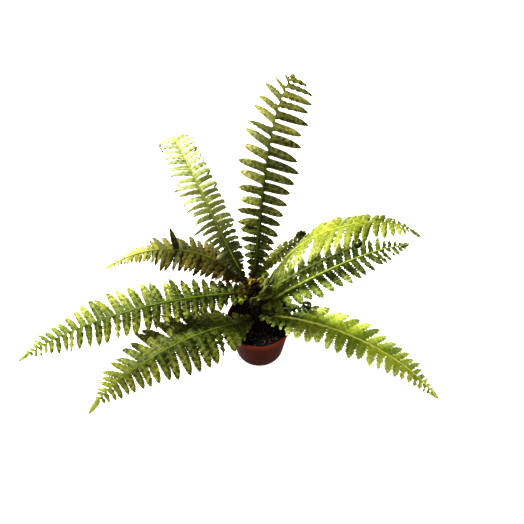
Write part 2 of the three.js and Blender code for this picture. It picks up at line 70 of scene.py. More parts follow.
lens = bpy.data.cameras.new("camera")
lens.sensor_width = SENSOR_MM
lens.lens = LENS_MM
camera = bpy.data.objects.new("camera", lens)
bpy.context.collection.objects.link(camera)
away = Vector((0, -cos(radians(LOOK_DOWN)), sin(radians(LOOK_DOWN))))
camera.location = LOOK_AT + DISTANCE * away
camera.rotation_euler = (radians(90 - LOOK_DOWN), 0, 0)
bpy.context.scene.camera = camera
print("camera at", [round(c, 3) for c in camera.location])

# %% [markdown]
# ## Floor and light
#
# The photograph has a white ground and a hard light from above, with deep shade between the lobes.
# One small strong lamp, high behind the left, gives those highlights, a weak broad one fills from
# the right, and a pale world keeps the shade soft. The floor is a plain pale sheet.

# %% Lay the floor
FLOOR_SIZE = 8
FLOOR_TINT = (0.93, 0.93, 0.92, 1)
FLOOR_ROUGHNESS = 0.9
FLOOR_GLOW = 0.55
WHITE = (1, 1, 1, 1)

bpy.ops.mesh.primitive_plane_add(size=FLOOR_SIZE)
floor = bpy.context.object
floor.name = "floor"
floor_paint = bpy.data.materials.new("floor")
floor_paint.use_nodes = True
floor_shader = floor_paint.node_tree.nodes["Principled BSDF"]
floor_shader.inputs["Base Color"].default_value = FLOOR_TINT
floor_shader.inputs["Roughness"].default_value = FLOOR_ROUGHNESS
floor_shader.inputs["Emission Color"].default_value = WHITE
floor_shader.inputs["Emission Strength"].default_value = FLOOR_GLOW
floor.data.materials.append(floor_paint)
print("floor laid, metres across:", FLOOR_SIZE)

# %% Hang the lamps
LAMP_AIM = Vector((0, 0.05, 0.1))
LAMPS = dict(
    key_lamp=dict(place=(-1.05, 0.75, 1.45), size=0.4, power=70),
    fill_lamp=dict(place=(1.2, -0.9, 1.2), size=1.2, power=3),
)
SKY_POWER = 0.26


def hang_lamp(name, place, size, power):
    """A square soft lamp that shines from its place towards the plant."""
    lamp = bpy.data.lights.new(name, "AREA")
    lamp.size = size
    lamp.energy = power
    hung = bpy.data.objects.new(name, lamp)
    bpy.context.collection.objects.link(hung)
    hung.location = place
    hung.rotation_euler = (LAMP_AIM - Vector(place)).to_track_quat("-Z", "Y").to_euler()


for name, lamp in LAMPS.items():
    hang_lamp(name, **lamp)

world = bpy.data.worlds.new("pale_room")
world.use_nodes = True
sky = world.node_tree.nodes["Background"]
sky.inputs["Color"].default_value = WHITE
sky.inputs["Strength"].default_value = SKY_POWER
bpy.context.scene.world = world
bpy.context.scene.view_settings.view_transform = "Standard"
bpy.context.scene.view_settings.look = "High Contrast"
print("lamps hung:", ", ".join(LAMPS))

# %% [markdown]
# ## Mixing finishes
#
# Each finish is a node material with no image. Writing nodes one by one is long, so a small mixer
# adds them by plain calls: blend two colours, take a band of a value, read a mark that was stored
# on the mesh. A value that is the same all over a surface is set on the shader itself.

# %% A colour by its code
def colour(code):
    """A colour written 0xRRGGBB, in the linear values that a shader wants."""
    parts = [((code >> shift) & 255) / 255 for shift in (16, 8, 0)]
    return tuple(((p + 0.055) / 1.055) ** 2.4 if p > 0.04 else p / 12.92 for p in parts) + (1.0,)


print("leaf green in linear values:", [round(c, 3) for c in colour(0x4F7A1C)])

# %% The mixer
class Finish:
    """A material that is being mixed. Most calls add a node and give back its result."""

    def __init__(self, name, **shader):
        """Starts a material with the shader values that are the same all over."""
        self.material = bpy.data.materials.new(name)
        self.material.use_nodes = True
        self.tree = self.material.node_tree
        self.shader = self.tree.nodes["Principled BSDF"]
        for socket, value in shader.items():
            self.feed(self.shader.inputs[socket.replace("_", " ")], value)

    def feed(self, socket, value):
        """Gives a socket a plain value or links another node's result to it."""
        if isinstance(value, bpy.types.NodeSocket):
            self.tree.links.new(value, socket)
        else:
            socket.default_value = value

    def add(self, kind, output, inputs, **settings):
        """A node's output, once its settings and inputs are in."""
        node = self.tree.nodes.new(kind)
        for key, value in settings.items():
            setattr(node, key, value)
        for socket, value in inputs.items():
            self.feed(node.inputs[socket], value)
        return node.outputs[output]

    def place(self):
        """The place of a point on its piece."""
        return self.add("ShaderNodeTexCoord", "Object", {})

    def split(self, vector):
        """The three numbers in a vector."""
        node = self.add("ShaderNodeSeparateXYZ", 0, {0: vector}).node
        return node.outputs[0], node.outputs[1], node.outputs[2]

    def mark(self, name):
        """The three numbers that a mark on the mesh holds."""
        return self.split(self.add("ShaderNodeAttribute", "Vector", {}, attribute_name=name))

    def work(self, way, first, second=0.0, third=0.0):
        """A sum, product or other arithmetic."""
        return self.add("ShaderNodeMath", 0, {0: first, 1: second, 2: third}, operation=way)

    def band(self, value, low, high, bottom=0.0, top=1.0):
        """Goes smoothly from bottom to top while a value goes from low to high."""
        inputs = {0: value, 1: low, 2: high, 3: bottom, 4: top}
        return self.add("ShaderNodeMapRange", 0, inputs, interpolation_type="SMOOTHSTEP")

    def cloud(self, scale, detail=2.0):
        """Cloudy noise that is finer at a larger scale."""
        inputs = {"Vector": self.place(), "Scale": scale, "Detail": detail}
        return self.add("ShaderNodeTexNoise", 0, inputs)

    def blend(self, share, first, second, way="MIX"):
        """Two colours mixed, with a share of the second."""
        inputs = {0: share, 6: first, 7: second}
        return self.add("ShaderNodeMix", 2, inputs, data_type="RGBA", blend_type=way)

    def relief(self, height, depth, strength=1.0):
        """Fine bumps, as deep as the height says."""
        inputs = {"Height": height, "Distance": depth, "Strength": strength}
        self.feed(self.shader.inputs["Normal"], self.add("ShaderNodeBump", "Normal", inputs))

    def coat(self, body):
        """The finished material, with its body colour."""
        self.feed(self.shader.inputs["Base Color"], body)
        return self.material


print("mixer ready")

# %% [markdown]
# ## The leaf finish
#
# A frond isn't one green. It darkens where it is old, at its foot, and yellows towards its growing
# tip. Each lobe differs from its neighbours, has a paler vein down its middle and a fan of fine
# side veins, and some tips are burnt brown. A painted image would need hundreds of lobes laid out
# flat, so the mesh carries two marks instead. Growth holds how far along the frond a point is, a
# lucky number for its lobe and how far out on the lobe it is. Blade holds how far across the lobe
# it is, how far along, and the lobe's half-width there.

# %% The blade's finish
VEIN_SPACING, VEIN_SLANT = 0.0013, 0.7
DIM, BRIGHT = (0.6, 0.66, 0.5, 1), (1.25, 1.2, 1.0, 1)
SCORCHED = 0x33200F


def blade_finish(name, leaf):
    """Leaf colours from the foot of a frond to its end, with painted highlights and burnt tips."""
    made = Finish(name, Roughness=0.45, Specular_IOR_Level=0.2)
    share, luck, reach = made.mark("growth")
    across, along, half = made.mark("blade")
    aside = made.work("ABSOLUTE", across)
    low, middle, end, light = [colour(tone) for tone in leaf.tones]

    # The tone turns along the frond, and painted highlights gather on the outer part of each lobe.
    body = made.blend(made.band(share, *leaf.young), low, middle)
    body = made.blend(made.band(share, 0.5, 1.0), body, end)
    painted_highlights = made.band(made.cloud(230, 3), 0.36, 0.7)
    outer = made.band(reach, 0.15, 0.85, 0.2, 1.0)
    # A shaded frond keeps these painted highlights faint nearer its foot: painted shade.
    if leaf.shaded:
        lit = made.band(share, 0.6 * leaf.shaded, leaf.shaded, 0.15, 1.0)
        outer = made.work("MULTIPLY", outer, lit)
    body = made.blend(made.work("MULTIPLY", painted_highlights, outer), body, light)

    # Each lobe is dimmer or brighter than the next, and has a paler middle vein.
    dim = made.blend(1.0, body, DIM, "MULTIPLY")
    bright = made.blend(1.0, body, BRIGHT, "MULTIPLY")
    body = made.blend(luck, dim, bright)
    body = made.blend(made.band(aside, 0.14, 0.04, 0.0, 0.18), body, light)

    # Lobes with a high number have burnt tips.
    chosen = made.band(luck, 1 - leaf.burnt, 1.05 - leaf.burnt)
    tip = made.band(reach, 0.66, 0.92)
    body = made.blend(made.work("MULTIPLY", tip, chosen), body, colour(SCORCHED))

    # The side veins leave the middle one at a slant.
    slant = made.work("MULTIPLY", made.work("MULTIPLY", aside, half), VEIN_SLANT)
    phase = made.work("DIVIDE", made.work("SUBTRACT", along, slant), VEIN_SPACING)
    veins = made.band(made.work("PINGPONG", phase, 0.5), 0.0, 0.3)
    made.relief(made.work("MULTIPLY_ADD", made.cloud(420, 3), 0.8, veins), 0.00025, 0.8)
    return made.coat(body)


print("blade finish ready, side veins every", VEIN_SPACING * 1000, "mm")

# %% The finishes of stalks and scales
STALK_FOOT = 0x4A3216


def rib_finish(name, tone):
    """A stalk that is brown at the foot and turns to the frond's own rib colour."""
    made = Finish(name, Roughness=0.45, Specular_IOR_Level=0.25)
    share, _, _ = made.mark("growth")
    body = made.blend(made.band(share, 0.01, 0.1), colour(STALK_FOOT), colour(tone))
    specks = made.band(made.cloud(150, 2), 0.35, 0.8, 0.0, 0.35)
    body = made.blend(specks, body, colour(STALK_FOOT))
    made.relief(made.cloud(900, 2), 0.0003, 0.5)
    return made.coat(body)


def scale_finish(name, dark, light, tip):
    """The papery golden-brown scales that cover the crown and the feet of the stalks."""
    made = Finish(name, Roughness=0.6)
    _, luck, reach = made.mark("growth")
    body = made.blend(luck, colour(dark), colour(light))
    body = made.blend(made.band(reach, 0.4, 1.0, 0.0, 0.6), body, colour(tip))
    return made.coat(body)


STALK_SCALES = scale_finish("papery_scales", 0x3E2A0C, 0x8C6C28, 0xA88A48)
print("stalk and scale finishes ready")

# %% [markdown]
# ## Building a leaf as grids of points
#
# Each lobe is a small sheet, and a sheet is easy to make as a grid: rows run from its root to its
# tip and columns from edge to edge. A tube is a grid too, closed round its columns. One frond has
# about fifty lobes, so its grids are collected and become one mesh. Modelling a lobe once and
# copying it would be quicker, but then every lobe would be the same, and a real frond's never are.

# %% A collector of grids
class Foliage:
    """Grids of points that become one mesh, with the marks that the finishes read."""

    def __init__(self):
        """Starts with no grid."""
        self.points, self.faces, self.kinds = [], [], []
        self.growth, self.blade = [], []
        self.count = 0

    def grid(self, points, growth, blade, kind, closed=False, flip=False):
        """Adds a grid, whose kind is the number of its finish."""
        rows, columns = points.shape[:2]
        ids = np.arange(rows * columns).reshape(rows, columns) + self.count
        if closed:
            ids = np.concatenate([ids, ids[:, :1]], axis=1)
        corners = (ids[:-1, :-1], ids[1:, :-1], ids[1:, 1:], ids[:-1, 1:])
        quads = np.stack(corners, axis=-1).reshape(-1, 4)
        self.faces.append(quads[:, ::-1] if flip else quads)
        self.kinds.append(np.full(len(quads), kind))
        self.points.append(points.reshape(-1, 3))
        self.growth.append(growth.reshape(-1, 3))
        self.blade.append(blade.reshape(-1, 3))
        self.count += rows * columns

    def piece(self, name, finishes, thickness=0.0):
        """All the grids as one object."""
        mesh = bpy.data.meshes.new(name)
        faces = np.concatenate(self.faces)
        mesh.from_pydata(np.concatenate(self.points), [], faces.tolist())
        kinds = np.concatenate(self.kinds).astype(np.int32)
        mesh.polygons.foreach_set("material_index", kinds)
        store_mark(mesh, "growth", np.concatenate(self.growth))
        store_mark(mesh, "blade", np.concatenate(self.blade))
        for finish in finishes:
            mesh.materials.append(finish)
        mesh.shade_smooth()
        made = bpy.data.objects.new(name, mesh)
        bpy.context.collection.objects.link(made)
        if thickness:
            sheet = made.modifiers.new("thickness", "SOLIDIFY")
            sheet.thickness = thickness
            sheet.offset = 0
        return made


def store_mark(mesh, name, values):
    """Puts three numbers on each point of a mesh."""
    mark = mesh.attributes.new(name, "FLOAT_VECTOR", "POINT")
    mark.data.foreach_set("vector", values.astype(np.float32).ravel())


def spread(shape, *values):
    """The three numbers of a mark over a whole grid. Each value may differ from row to row."""
    return np.stack([np.broadcast_to(value, shape) for value in values], axis=-1)


def put_on(piece, node=None):
    """Fixes a piece to the part and hides the solid whose place it takes, if it has one."""
    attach(piece, "root")
    if node:
        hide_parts(node)


print("grid collector ready")

# %% [markdown]
# ## The midrib
#
# A frond rises from its seat on the trunk and arches over as its slope eases from rise to fall. A
# curve could be bent by eye, with a few handles. Instead it is walked in small equal steps, turning
# a little at each one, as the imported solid's is, so the fine frond lies exactly on the coarse one.
# The seat stays straight. A coil is walked too, in steps that shrink as it closes.

# %% Sizes that all leaves share
SEAT_DEPTH = 0.007
STRAIGHT = 0.02
STALK_RADIUS = 0.0022
RIB_TAPER = 0.68
WALK_STEPS = 80
COIL_STEP = 5
COIL_NARROWING = 0.62
TRUNK_FOOT = np.array([0, 0, 0.09])
TRUNK_CROWN = np.array([-0.012, 0.027, 0.17])
FOOT_RADIUS, WAIST_RADIUS, CROWN_RADIUS = 0.0125, 0.0105, 0.013

trunk_height = np.linalg.norm(TRUNK_CROWN - TRUNK_FOOT)
trunk_axis = (TRUNK_CROWN - TRUNK_FOOT) / trunk_height


def trunk_radius(share):
    """The trunk is narrowest half way up."""
    straight = FOOT_RADIUS + (CROWN_RADIUS - FOOT_RADIUS) * share
    return straight - (straight - WAIST_RADIUS) * np.sin(pi * share)


print("trunk height, mm:", round(trunk_height * 1000, 1))

# %% Directions
def outward(heading):
    """Level unit vectors at compass headings, from +X towards +Y."""
    turn = np.radians(heading)
    return np.stack([np.cos(turn), np.sin(turn), np.zeros_like(turn)], axis=-1)


def climbing(heading, slope):
    """Unit vectors that climb at slopes, in radians, over their headings."""
    rise = np.stack([0 * slope, 0 * slope, np.sin(slope)], axis=-1)
    return outward(heading) * np.cos(slope)[..., None] + rise


def unit(vectors):
    """Vectors brought to length one."""
    return vectors / np.linalg.norm(vectors, axis=-1, keepdims=True)


print("45 degrees up and to the right:", climbing(np.array(0.0), np.array(pi / 4)))

# %% Walk along a midrib
def course(leaf, share):
    """Headings, and slopes in radians, at shares of a leaf's length."""
    heading = leaf.heading + leaf.sweep * share ** leaf.bend
    return heading, np.radians(leaf.rise + (leaf.fall - leaf.rise) * share ** leaf.late)


def midrib(leaf):
    """Places along a midrib, with their three directions. A young leaf ends in its coil."""
    middle = (np.arange(WALK_STEPS) + 0.5) / WALK_STEPS
    share = np.concatenate([[0, 0], (np.arange(WALK_STEPS) + 1) / WALK_STEPS])
    heading, slope = course(leaf, share)
    first = climbing(heading[:1], slope[:1])[0]
    perch = TRUNK_FOOT + trunk_axis * leaf.perch * trunk_height
    start = perch + outward(heading[0]) * trunk_radius(leaf.perch) - first * SEAT_DEPTH
    moves = climbing(*course(leaf, middle)) * (leaf.length / WALK_STEPS)
    lengths = np.full(WALK_STEPS, leaf.length / WALK_STEPS)
    if leaf.coil_turns:
        turn, count = radians(COIL_STEP), int(leaf.coil_turns * 360 / COIL_STEP)
        middle = np.arange(count) + 0.5
        rolled = radians(leaf.fall) + turn * middle
        narrowing = 1 - COIL_NARROWING * middle / count
        lengths = np.concatenate([lengths, leaf.coil_radius * narrowing * turn])
        ways = climbing(np.full(count, leaf.heading + leaf.sweep), rolled)
        moves = np.concatenate([moves, ways * lengths[-count:, None]])
        share = np.concatenate([share, np.ones(count)])
        slope = np.concatenate([slope, rolled + turn / 2])
        heading = np.concatenate([heading, np.full(count, heading[-1])])
    seat = first * STRAIGHT
    out = outward(heading)
    walk = SimpleNamespace(share=share, along=climbing(heading, slope))
    walk.point = start + np.concatenate([[0 * seat, seat], seat + np.cumsum(moves, axis=0)])
    walk.travelled = np.concatenate([[0, STRAIGHT], STRAIGHT + np.cumsum(lengths)])
    walk.side = np.stack([out[:, 1], -out[:, 0], 0 * heading], axis=-1)
    walk.up = np.cross(walk.side, walk.along)
    return walk


print("midribs are walked in", WALK_STEPS, "steps, and a coil in steps of", COIL_STEP, "degrees")

# %% Find a place on a midrib
def place_on(walk, travelled):
    """The place at a distance along a midrib, or the places at several."""
    mixed = {"share": np.interp(travelled, walk.travelled, walk.share)}
    for key in ("point", "along", "side", "up"):
        rows = getattr(walk, key)
        found = [np.interp(travelled, walk.travelled, rows[:, axis]) for axis in range(3)]
        mixed[key] = np.stack(found, axis=-1)
        if key != "point":
            mixed[key] = unit(mixed[key])
    return SimpleNamespace(**mixed)


print("place finder ready")

# %% [markdown]
# ## Lobes
#
# The blade is cut almost to the midrib into tongue-shaped lobes that stay joined at their feet.
# They are small at the frond's foot, longest near its middle, and small again at the tip, and
# small ones stand closer. Each lobe leans a little towards the tip, droops, twists and sags by its
# own amount. The draws are seeded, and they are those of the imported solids, lobe for lobe.

# %% Spread the lobes along the midrib
CLOSEST = 0.42
GROWTH_POWER = 1.3
TIP_SHRINKAGE = 0.85


def draws(seed):
    """A repeatable stream of numbers from -0.5 to 0.5."""
    state = seed
    while True:
        state = (state * 1664525 + 1013904223) % 4294967296
        yield state / 4294967296 - 0.5


def lobe_share(leaf, share):
    """How long the lobes are along a frond, as a share of the longest."""
    growing = sin(pi / 2 * min(1, share / leaf.full)) ** GROWTH_POWER
    past = max(0, (share - leaf.taper) / (1 - leaf.taper))
    return (leaf.foot + (1 - leaf.foot) * growing) * (1 - TIP_SHRINKAGE * past ** leaf.ending)


def stations_of(leaf):
    """Distances along the midrib where one lobe ends and the next begins."""
    uncut = 0 if leaf.coil_turns else leaf.terminal
    start = SEAT_DEPTH + leaf.bare
    usable = STRAIGHT + leaf.length * (1 - uncut) - start
    middles = (np.arange(leaf.pairs) + 0.5) / leaf.pairs
    steps = np.array([CLOSEST + (1 - CLOSEST) * lobe_share(leaf, share) for share in middles])
    return start + np.concatenate([[0], np.cumsum(steps)]) * usable / steps.sum()


print("first draws of seed 11:", [round(n, 3) for n, _ in zip(draws(11), range(3))])

# %% [markdown]
# ## One lobe
#
# A lobe's margin has forward-pointing teeth about 4 mm apart. Its halves fall away from a sunken
# middle vein, and the margin is crimped in waves. A flat card with a leaf's picture on it would be
# lighter, but those waves are what catches the light, so they are modelled. Each row of the grid
# sits on a tooth's valley or its point, and the waves are added along the sheet's normal.

# %% A lobe's outline
NECK_LENGTH, FOOT_LENGTH, TIP_POWER = 0.22, 0.05, 0.75


def outline(t, root, neck, point):
    """A lobe's half-width along it: a wide foot, a narrow neck, a full middle and a pointed tip."""
    narrow = 1 - neck * np.exp(-t / NECK_LENGTH)
    tip = np.clip(1 - t ** point, 0, 1) ** TIP_POWER
    return narrow * tip + (root - 1 + neck) * np.exp(-t / FOOT_LENGTH)


print("half-widths along a lobe:", np.round(outline(np.linspace(0, 1, 6), 1.5, 0.12, 4.2), 2))

# %% Shape a lobe
TOOTH_POINT = 0.72
TOOTH_RISE = 6
FEWEST_TEETH = 4
JOINED = 0.25
CURL_FROM = 0.6
HOOK = 0.1
CRIMP_FROM = 0.2
CRIMP_LENGTH, CRIMP_SHIFT, CRIMP_POWER = 0.011, 2.3, 1.6
VEIN_DEPTH, VEIN_WIDTH = 0.0003, 0.1
COLUMNS = np.array([-1, -0.72, -0.42, -0.12, 0, 0.12, 0.42, 0.72, 1])


def turn_about(vectors, axis, angle):
    """Vectors turned about a unit axis by angles in radians."""
    spun = np.cross(axis, vectors)
    return vectors * np.cos(angle)[..., None] + spun * np.sin(angle)[..., None]


def lobe_sheet(place, hand, lobe):
    """The points of one lobe, with its two marks. The hand is 1 on the right and -1 on the left."""
    teeth = max(FEWEST_TEETH, round(lobe.length / lobe.tooth))
    t = np.append(((np.arange(teeth)[:, None] + [0, TOOTH_POINT]) / teeth).ravel(), 1.0)
    jag = np.append(np.tile([-1.0, 1.0], teeth), 0.0)
    freed = np.clip(t / JOINED, 0, 1)

    # The spine leans, droops, hooks forward, sags and curls, and the rows turn about it.
    lean, droop = radians(lobe.lean), radians(lobe.droop)
    level = place.along * cos(lean) + place.side * hand * sin(lean)
    out = level * cos(droop) - place.up * sin(droop)
    across = place.along * sin(lean) - place.side * hand * cos(lean)
    turns = hand * (radians(lobe.twist) * freed + radians(lobe.wring) * t)
    wide = turn_about(np.tile(across, (len(t), 1)), out, turns)
    bending = place.along * HOOK + np.array([0, 0, -lobe.sag])
    root = place.point + place.side * hand * lobe.root
    normal = unit(hand * np.cross(out + 2 * bending * t[:, None], wide))
    rolled = lobe.curl * lobe.length * np.clip((t - CURL_FROM) / (1 - CURL_FROM), 0, 1) ** 2
    spine = root + lobe.length * (out * t[:, None] + bending * (t ** 2)[:, None])
    spine -= normal * rolled[:, None] + out * (0.5 * np.abs(rolled))[:, None]

    # The sheet is toothed, crimped at the margin, cupped, and sunk along its middle vein.
    toothed = 1 + lobe.jag * jag * np.clip(t * TOOTH_RISE, 0, 1)
    half = lobe.width / 2 * outline(t, lobe.spread, lobe.neck, lobe.point) * toothed
    s = COLUMNS[None, :]
    start = np.where(s > 0, lobe.phase, lobe.phase + CRIMP_SHIFT)
    phase = 2 * pi * (t * lobe.length / CRIMP_LENGTH)[:, None] + start
    fade = np.clip(t / CRIMP_FROM, 0, 1)[:, None] * np.sqrt(np.clip(1 - t, 0, 1))[:, None]
    lift = lobe.crimp * np.abs(s) ** CRIMP_POWER * np.sin(phase) * fade
    lift -= lobe.cup * (freed * half)[:, None] * s ** 2
    lift -= VEIN_DEPTH * np.exp(-((s / VEIN_WIDTH) ** 2))
    aside = s * half[:, None]
    points = spine[:, None] + wide[:, None] * aside[..., None] + normal[:, None] * lift[..., None]
    points += out * (aside * (1 - freed)[:, None] / np.tan(lean))[..., None]
    growth = spread(lift.shape, place.share, lobe.luck, t[:, None])
    blade = spread(lift.shape, s, t[:, None] * lobe.length, half[:, None])
    return points, growth, blade


print("a lobe has columns at", COLUMNS)

# %% [markdown]
# ## Stalk and scales
#
# The midrib is a tube that narrows to the tip and is a little flatter than it is wide. At its foot
# it is clothed in narrow papery scales that point along it. Combed hair would cover it in one
# step, but hair is round and scales are flat, so each one is a tiny blade of its own.

# %% The midrib's tube
FLATNESS = 0.85
CLOSING = 0.05


def add_tube(foliage, walk, radius_at, kind, sides=10, spacing=0.004):
    """A tube along a walk, whose radius follows the share of its length, closed at its ends."""
    count = max(8, int(walk.travelled[-1] / spacing))
    travelled = np.linspace(0, walk.travelled[-1], count)
    place = place_on(walk, travelled)
    radius = radius_at(place.share)[:, None]
    radius[[0, -1]] *= CLOSING
    angle = (np.arange(sides) * 2 * pi / sides)[:, None]
    ring = place.side[:, None] * np.cos(angle) + place.up[:, None] * np.sin(angle) * FLATNESS
    points = place.point[:, None] + ring * radius[..., None]
    shape = points.shape[:2]
    growth = spread(shape, place.share[:, None], 0.5, 0)
    blade = spread(shape, 0, travelled[:, None], radius)
    foliage.grid(points, growth, blade, kind, closed=True)


print("tube maker ready")

# %% Scales
SCALE_ROWS = np.array([0, 0.35, 0.7, 1.0])
SCALE_OUTLINE = np.array([0.6, 1, 0.7, 0.05])
SCALE_BOW, SCALE_SUNK, SCALE_THINNING = 0.22, 0.9, 1.6
STALK_SCALE_WIDTH, CROWN_SCALE_WIDTH = 0.16, 0.2


def add_scale(foliage, root, way, normal, length, width, luck, kind):
    """One narrow papery scale, which bows away from what it grows on."""
    t = SCALE_ROWS
    half = width / 2 * SCALE_OUTLINE
    side = unit(np.cross(way, normal))
    spine = root + way * (length * t)[:, None] + normal * (SCALE_BOW * length * t ** 2)[:, None]
    points = spine[:, None] + side * (np.array([-1, 0, 1]) * half[:, None])[..., None]
    foliage.grid(points, spread((4, 3), 0, luck, t[:, None]), 0 * points, kind)


def clothe(foliage, walk, start, end, count, length, radius, loose, kind):
    """Scales round a stretch of stalk, thinning out towards its end."""
    for _ in range(count):
        place = place_on(walk, start + (end - start) * loose.random() ** SCALE_THINNING)
        angle = loose.random() * 2 * pi
        normal = place.side * cos(angle) + place.up * sin(angle)
        way = place.along + normal * loose.uniform(0.1, 0.5) + place.side * loose.uniform(-0.2, 0.2)
        size = length * loose.uniform(0.6, 1.2)
        root = place.point + normal * radius * SCALE_SUNK
        width = size * STALK_SCALE_WIDTH
        add_scale(foliage, root, unit(way), normal, size, width, loose.random(), kind)


print("scale maker ready")

# %% [markdown]
# ## Growing a frond
#
# This puts the pieces together: the tube, a pair of lobes between each two stations, and the
# narrow leaf at the tip. The lobes near the foot of a frond are small, crowded and tightly
# crimped, and they calm down further out. A third of a millimetre of thickness is added at the
# end, because a sheet with no thickness shows no edge and looks like a paper cut-out.
#
# Eleven leaves could be modelled one by one, and each would be freer, but a change to all of them
# would be eleven times the work. So each is a row of numbers that the same rules read. A row has
# the seed of its draws; its perch, how high on the trunk it sits; its length and heading; rise and
# fall, its slopes at the foot and the tip; its pairs of lobes and the length of the longest; its
# slot; its tones at the foot, in the middle, at the tip and in its painted highlights; and its rib's
# tone.

# %% What a typical leaf is like
TYPICAL = dict(
    # how far it swings aside, how late it swings and how late it dips, and its bare stalk
    sweep=0, bend=1, late=1, bare=0.02,
    # lobes at its foot, where they are full, where they shrink and how late, the room that they
    # fill, and the share of its length without lobes
    foot=0.3, full=0.5, taper=0.6, ending=2, fill=0.72, terminal=0.06,
    # how lobes lean at its foot and tip and how late that turns, and how the two sides differ
    lean_foot=98, lean_tip=55, lean_late=2, rake=0, rake_tip=0,
    # how they droop, how the two sides differ in it, how they sag, and the one that stands up
    droop=10, roll=0, sag=0.12, standing=-1,
    # the sizes of the two sides, and how much the right one loses at the foot
    right_lobes=1, left_lobes=1, uneven=0,
    # how much wider lobes are than the coarse ones, and how much more so at the foot
    wider=1.3, crowd=0.2,
    # how narrow their necks and how blunt their tips are, and the spacing and depth of teeth
    neck=0.12, point=4.2, tooth=0.0036, jag=0.17,
    # the height of the margin's waves, the same at the foot, the cupping and the rolled tip
    crimp=0.0015, foot_crimp=0.0024, cup=0.26, curl=0.05,
    # the coil, and the leaflets at its foot
    coil_radius=0, coil_turns=0, feathers=3, feather_size=0.9, feather_droop=-18,
    # how stout its midrib is, how many tips are burnt, where the foot's tone gives way to the
    # middle one, and how far out the painted highlights stay faint, as painted shade
    stout=0.68, burnt=0.0, young=(0.08, 0.5), shaded=0.0,
)
VARIETY = SimpleNamespace(size=0.14, lean=18, droop=12, twist=26)
SLACK = SimpleNamespace(lean=2.5, twist=8, foot_twist=14, wring=22)
BLADE, RIB, SCALE = 0, 1, 2
THICKNESS = 0.00035
ROOT_OVERLAP, ROOT_SUNK = 1.08, 0.6
COIL_LOBES = 16
STANDING = 55
CALM_FROM = 0.35
NARROWING = 1 / 3
print("numbers that describe a leaf:", len(TYPICAL))

# %% Grow one lobe
def rib_radius(share, stout=TYPICAL["stout"]):
    """The midrib's radius at shares of a leaf's length."""
    return STALK_RADIUS * stout * (1 - RIB_TAPER * share)


def grow_lobe(foliage, leaf, place, hand, lobe, draw, loose):
    """One lobe, varied by four of the frond's draws and by loose ones that only fine detail uses."""
    size, turn, hang, twist = next(draw), next(draw), next(draw), next(draw)
    side = leaf.right_lobes if hand > 0 else leaf.left_lobes
    stands = hand > 0 and lobe.index == leaf.standing
    calm = np.clip(place.share / CALM_FROM, 0, 1)
    slack = SLACK.twist + SLACK.foot_twist * (1 - calm)
    lean = lobe.lean - hand * lobe.rake
    crimp = leaf.foot_crimp + (leaf.crimp - leaf.foot_crimp) * calm
    varied = SimpleNamespace(
        length=lobe.length * side * (1 - hand * lobe.uneven) * (1 + VARIETY.size * size),
        width=lobe.room * sin(radians(lean)) * leaf.wider * (1 + leaf.crowd * (1 - calm)),
        spread=lobe.spread / leaf.wider,
        neck=leaf.neck,
        tooth=leaf.tooth,
        jag=leaf.jag,
        point=leaf.point,
        lean=lean + VARIETY.lean * (1 - leaf.fill) * turn + loose.normal(0, SLACK.lean),
        droop=-STANDING if stands else leaf.droop + hand * leaf.roll + VARIETY.droop * hang,
        twist=VARIETY.twist * twist + loose.normal(0, slack),
        wring=loose.normal(0, SLACK.wring),
        sag=leaf.sag,
        root=rib_radius(place.share) * ROOT_SUNK,
        curl=leaf.curl * loose.uniform(0.2, 1.8),
        crimp=crimp * loose.uniform(0.6, 1.3),
        cup=leaf.cup * loose.uniform(0.3, 1.6),
        phase=loose.uniform(0, 2 * pi),
        luck=loose.random(),
    )
    points, growth, blade = lobe_sheet(place, hand, varied)
    foliage.grid(points, growth, blade, BLADE, flip=hand < 0)


print("lobe maker ready")

# %% Leaflets at a leaf's foot, and its open or coiled end
FEATHER_WIDTH, FEATHER_LEAN = 0.42, 22
END_WIDTH, END_OVERLAP = 0.22, 0.002


def foot_leaflets(foliage, leaf, walk, loose):
    """Small crumpled lobes that crowd round the foot of a stalk."""
    for i in range(leaf.feathers):
        place = place_on(walk, SEAT_DEPTH + 0.002 + leaf.bare * (i + 0.5) / leaf.feathers)
        size = leaf.lobe * leaf.foot * leaf.feather_size * (0.7 + 0.5 * i / leaf.feathers)
        for hand in (1, -1, 1, -1):
            droop = leaf.feather_droop * loose.uniform(0.2, 1.8)
            crumpled = SimpleNamespace(**{**vars(leaf), "droop": droop})
            lobe = SimpleNamespace(
                index=-2, length=size, room=size * FEATHER_WIDTH, spread=1.0, rake=0, uneven=0,
                lean=leaf.lean_foot + loose.normal(0, FEATHER_LEAN),
            )
            grow_lobe(foliage, crumpled, place, hand, lobe, draws(leaf.seed + i), loose)


def end_leaf(foliage, leaf, walk, start):
    """The narrow uncut leaf at the tip of an open frond."""
    place = place_on(walk, start - END_OVERLAP)
    length = walk.travelled[-1] - start + END_OVERLAP
    ahead = SimpleNamespace(**{**vars(place), "along": -place.side, "side": place.along})
    lobe = SimpleNamespace(
        length=length, width=leaf.lobe * END_WIDTH, spread=0.5, lean=90, droop=0, twist=0, wring=0,
        sag=0, root=0, curl=0, crimp=0.0006, cup=0.2, phase=0, luck=0.5, neck=0.1, tooth=0.004,
        jag=0.2, point=3,
    )
    points, growth, blade = lobe_sheet(ahead, 1, lobe)
    foliage.grid(points, growth, blade, BLADE)


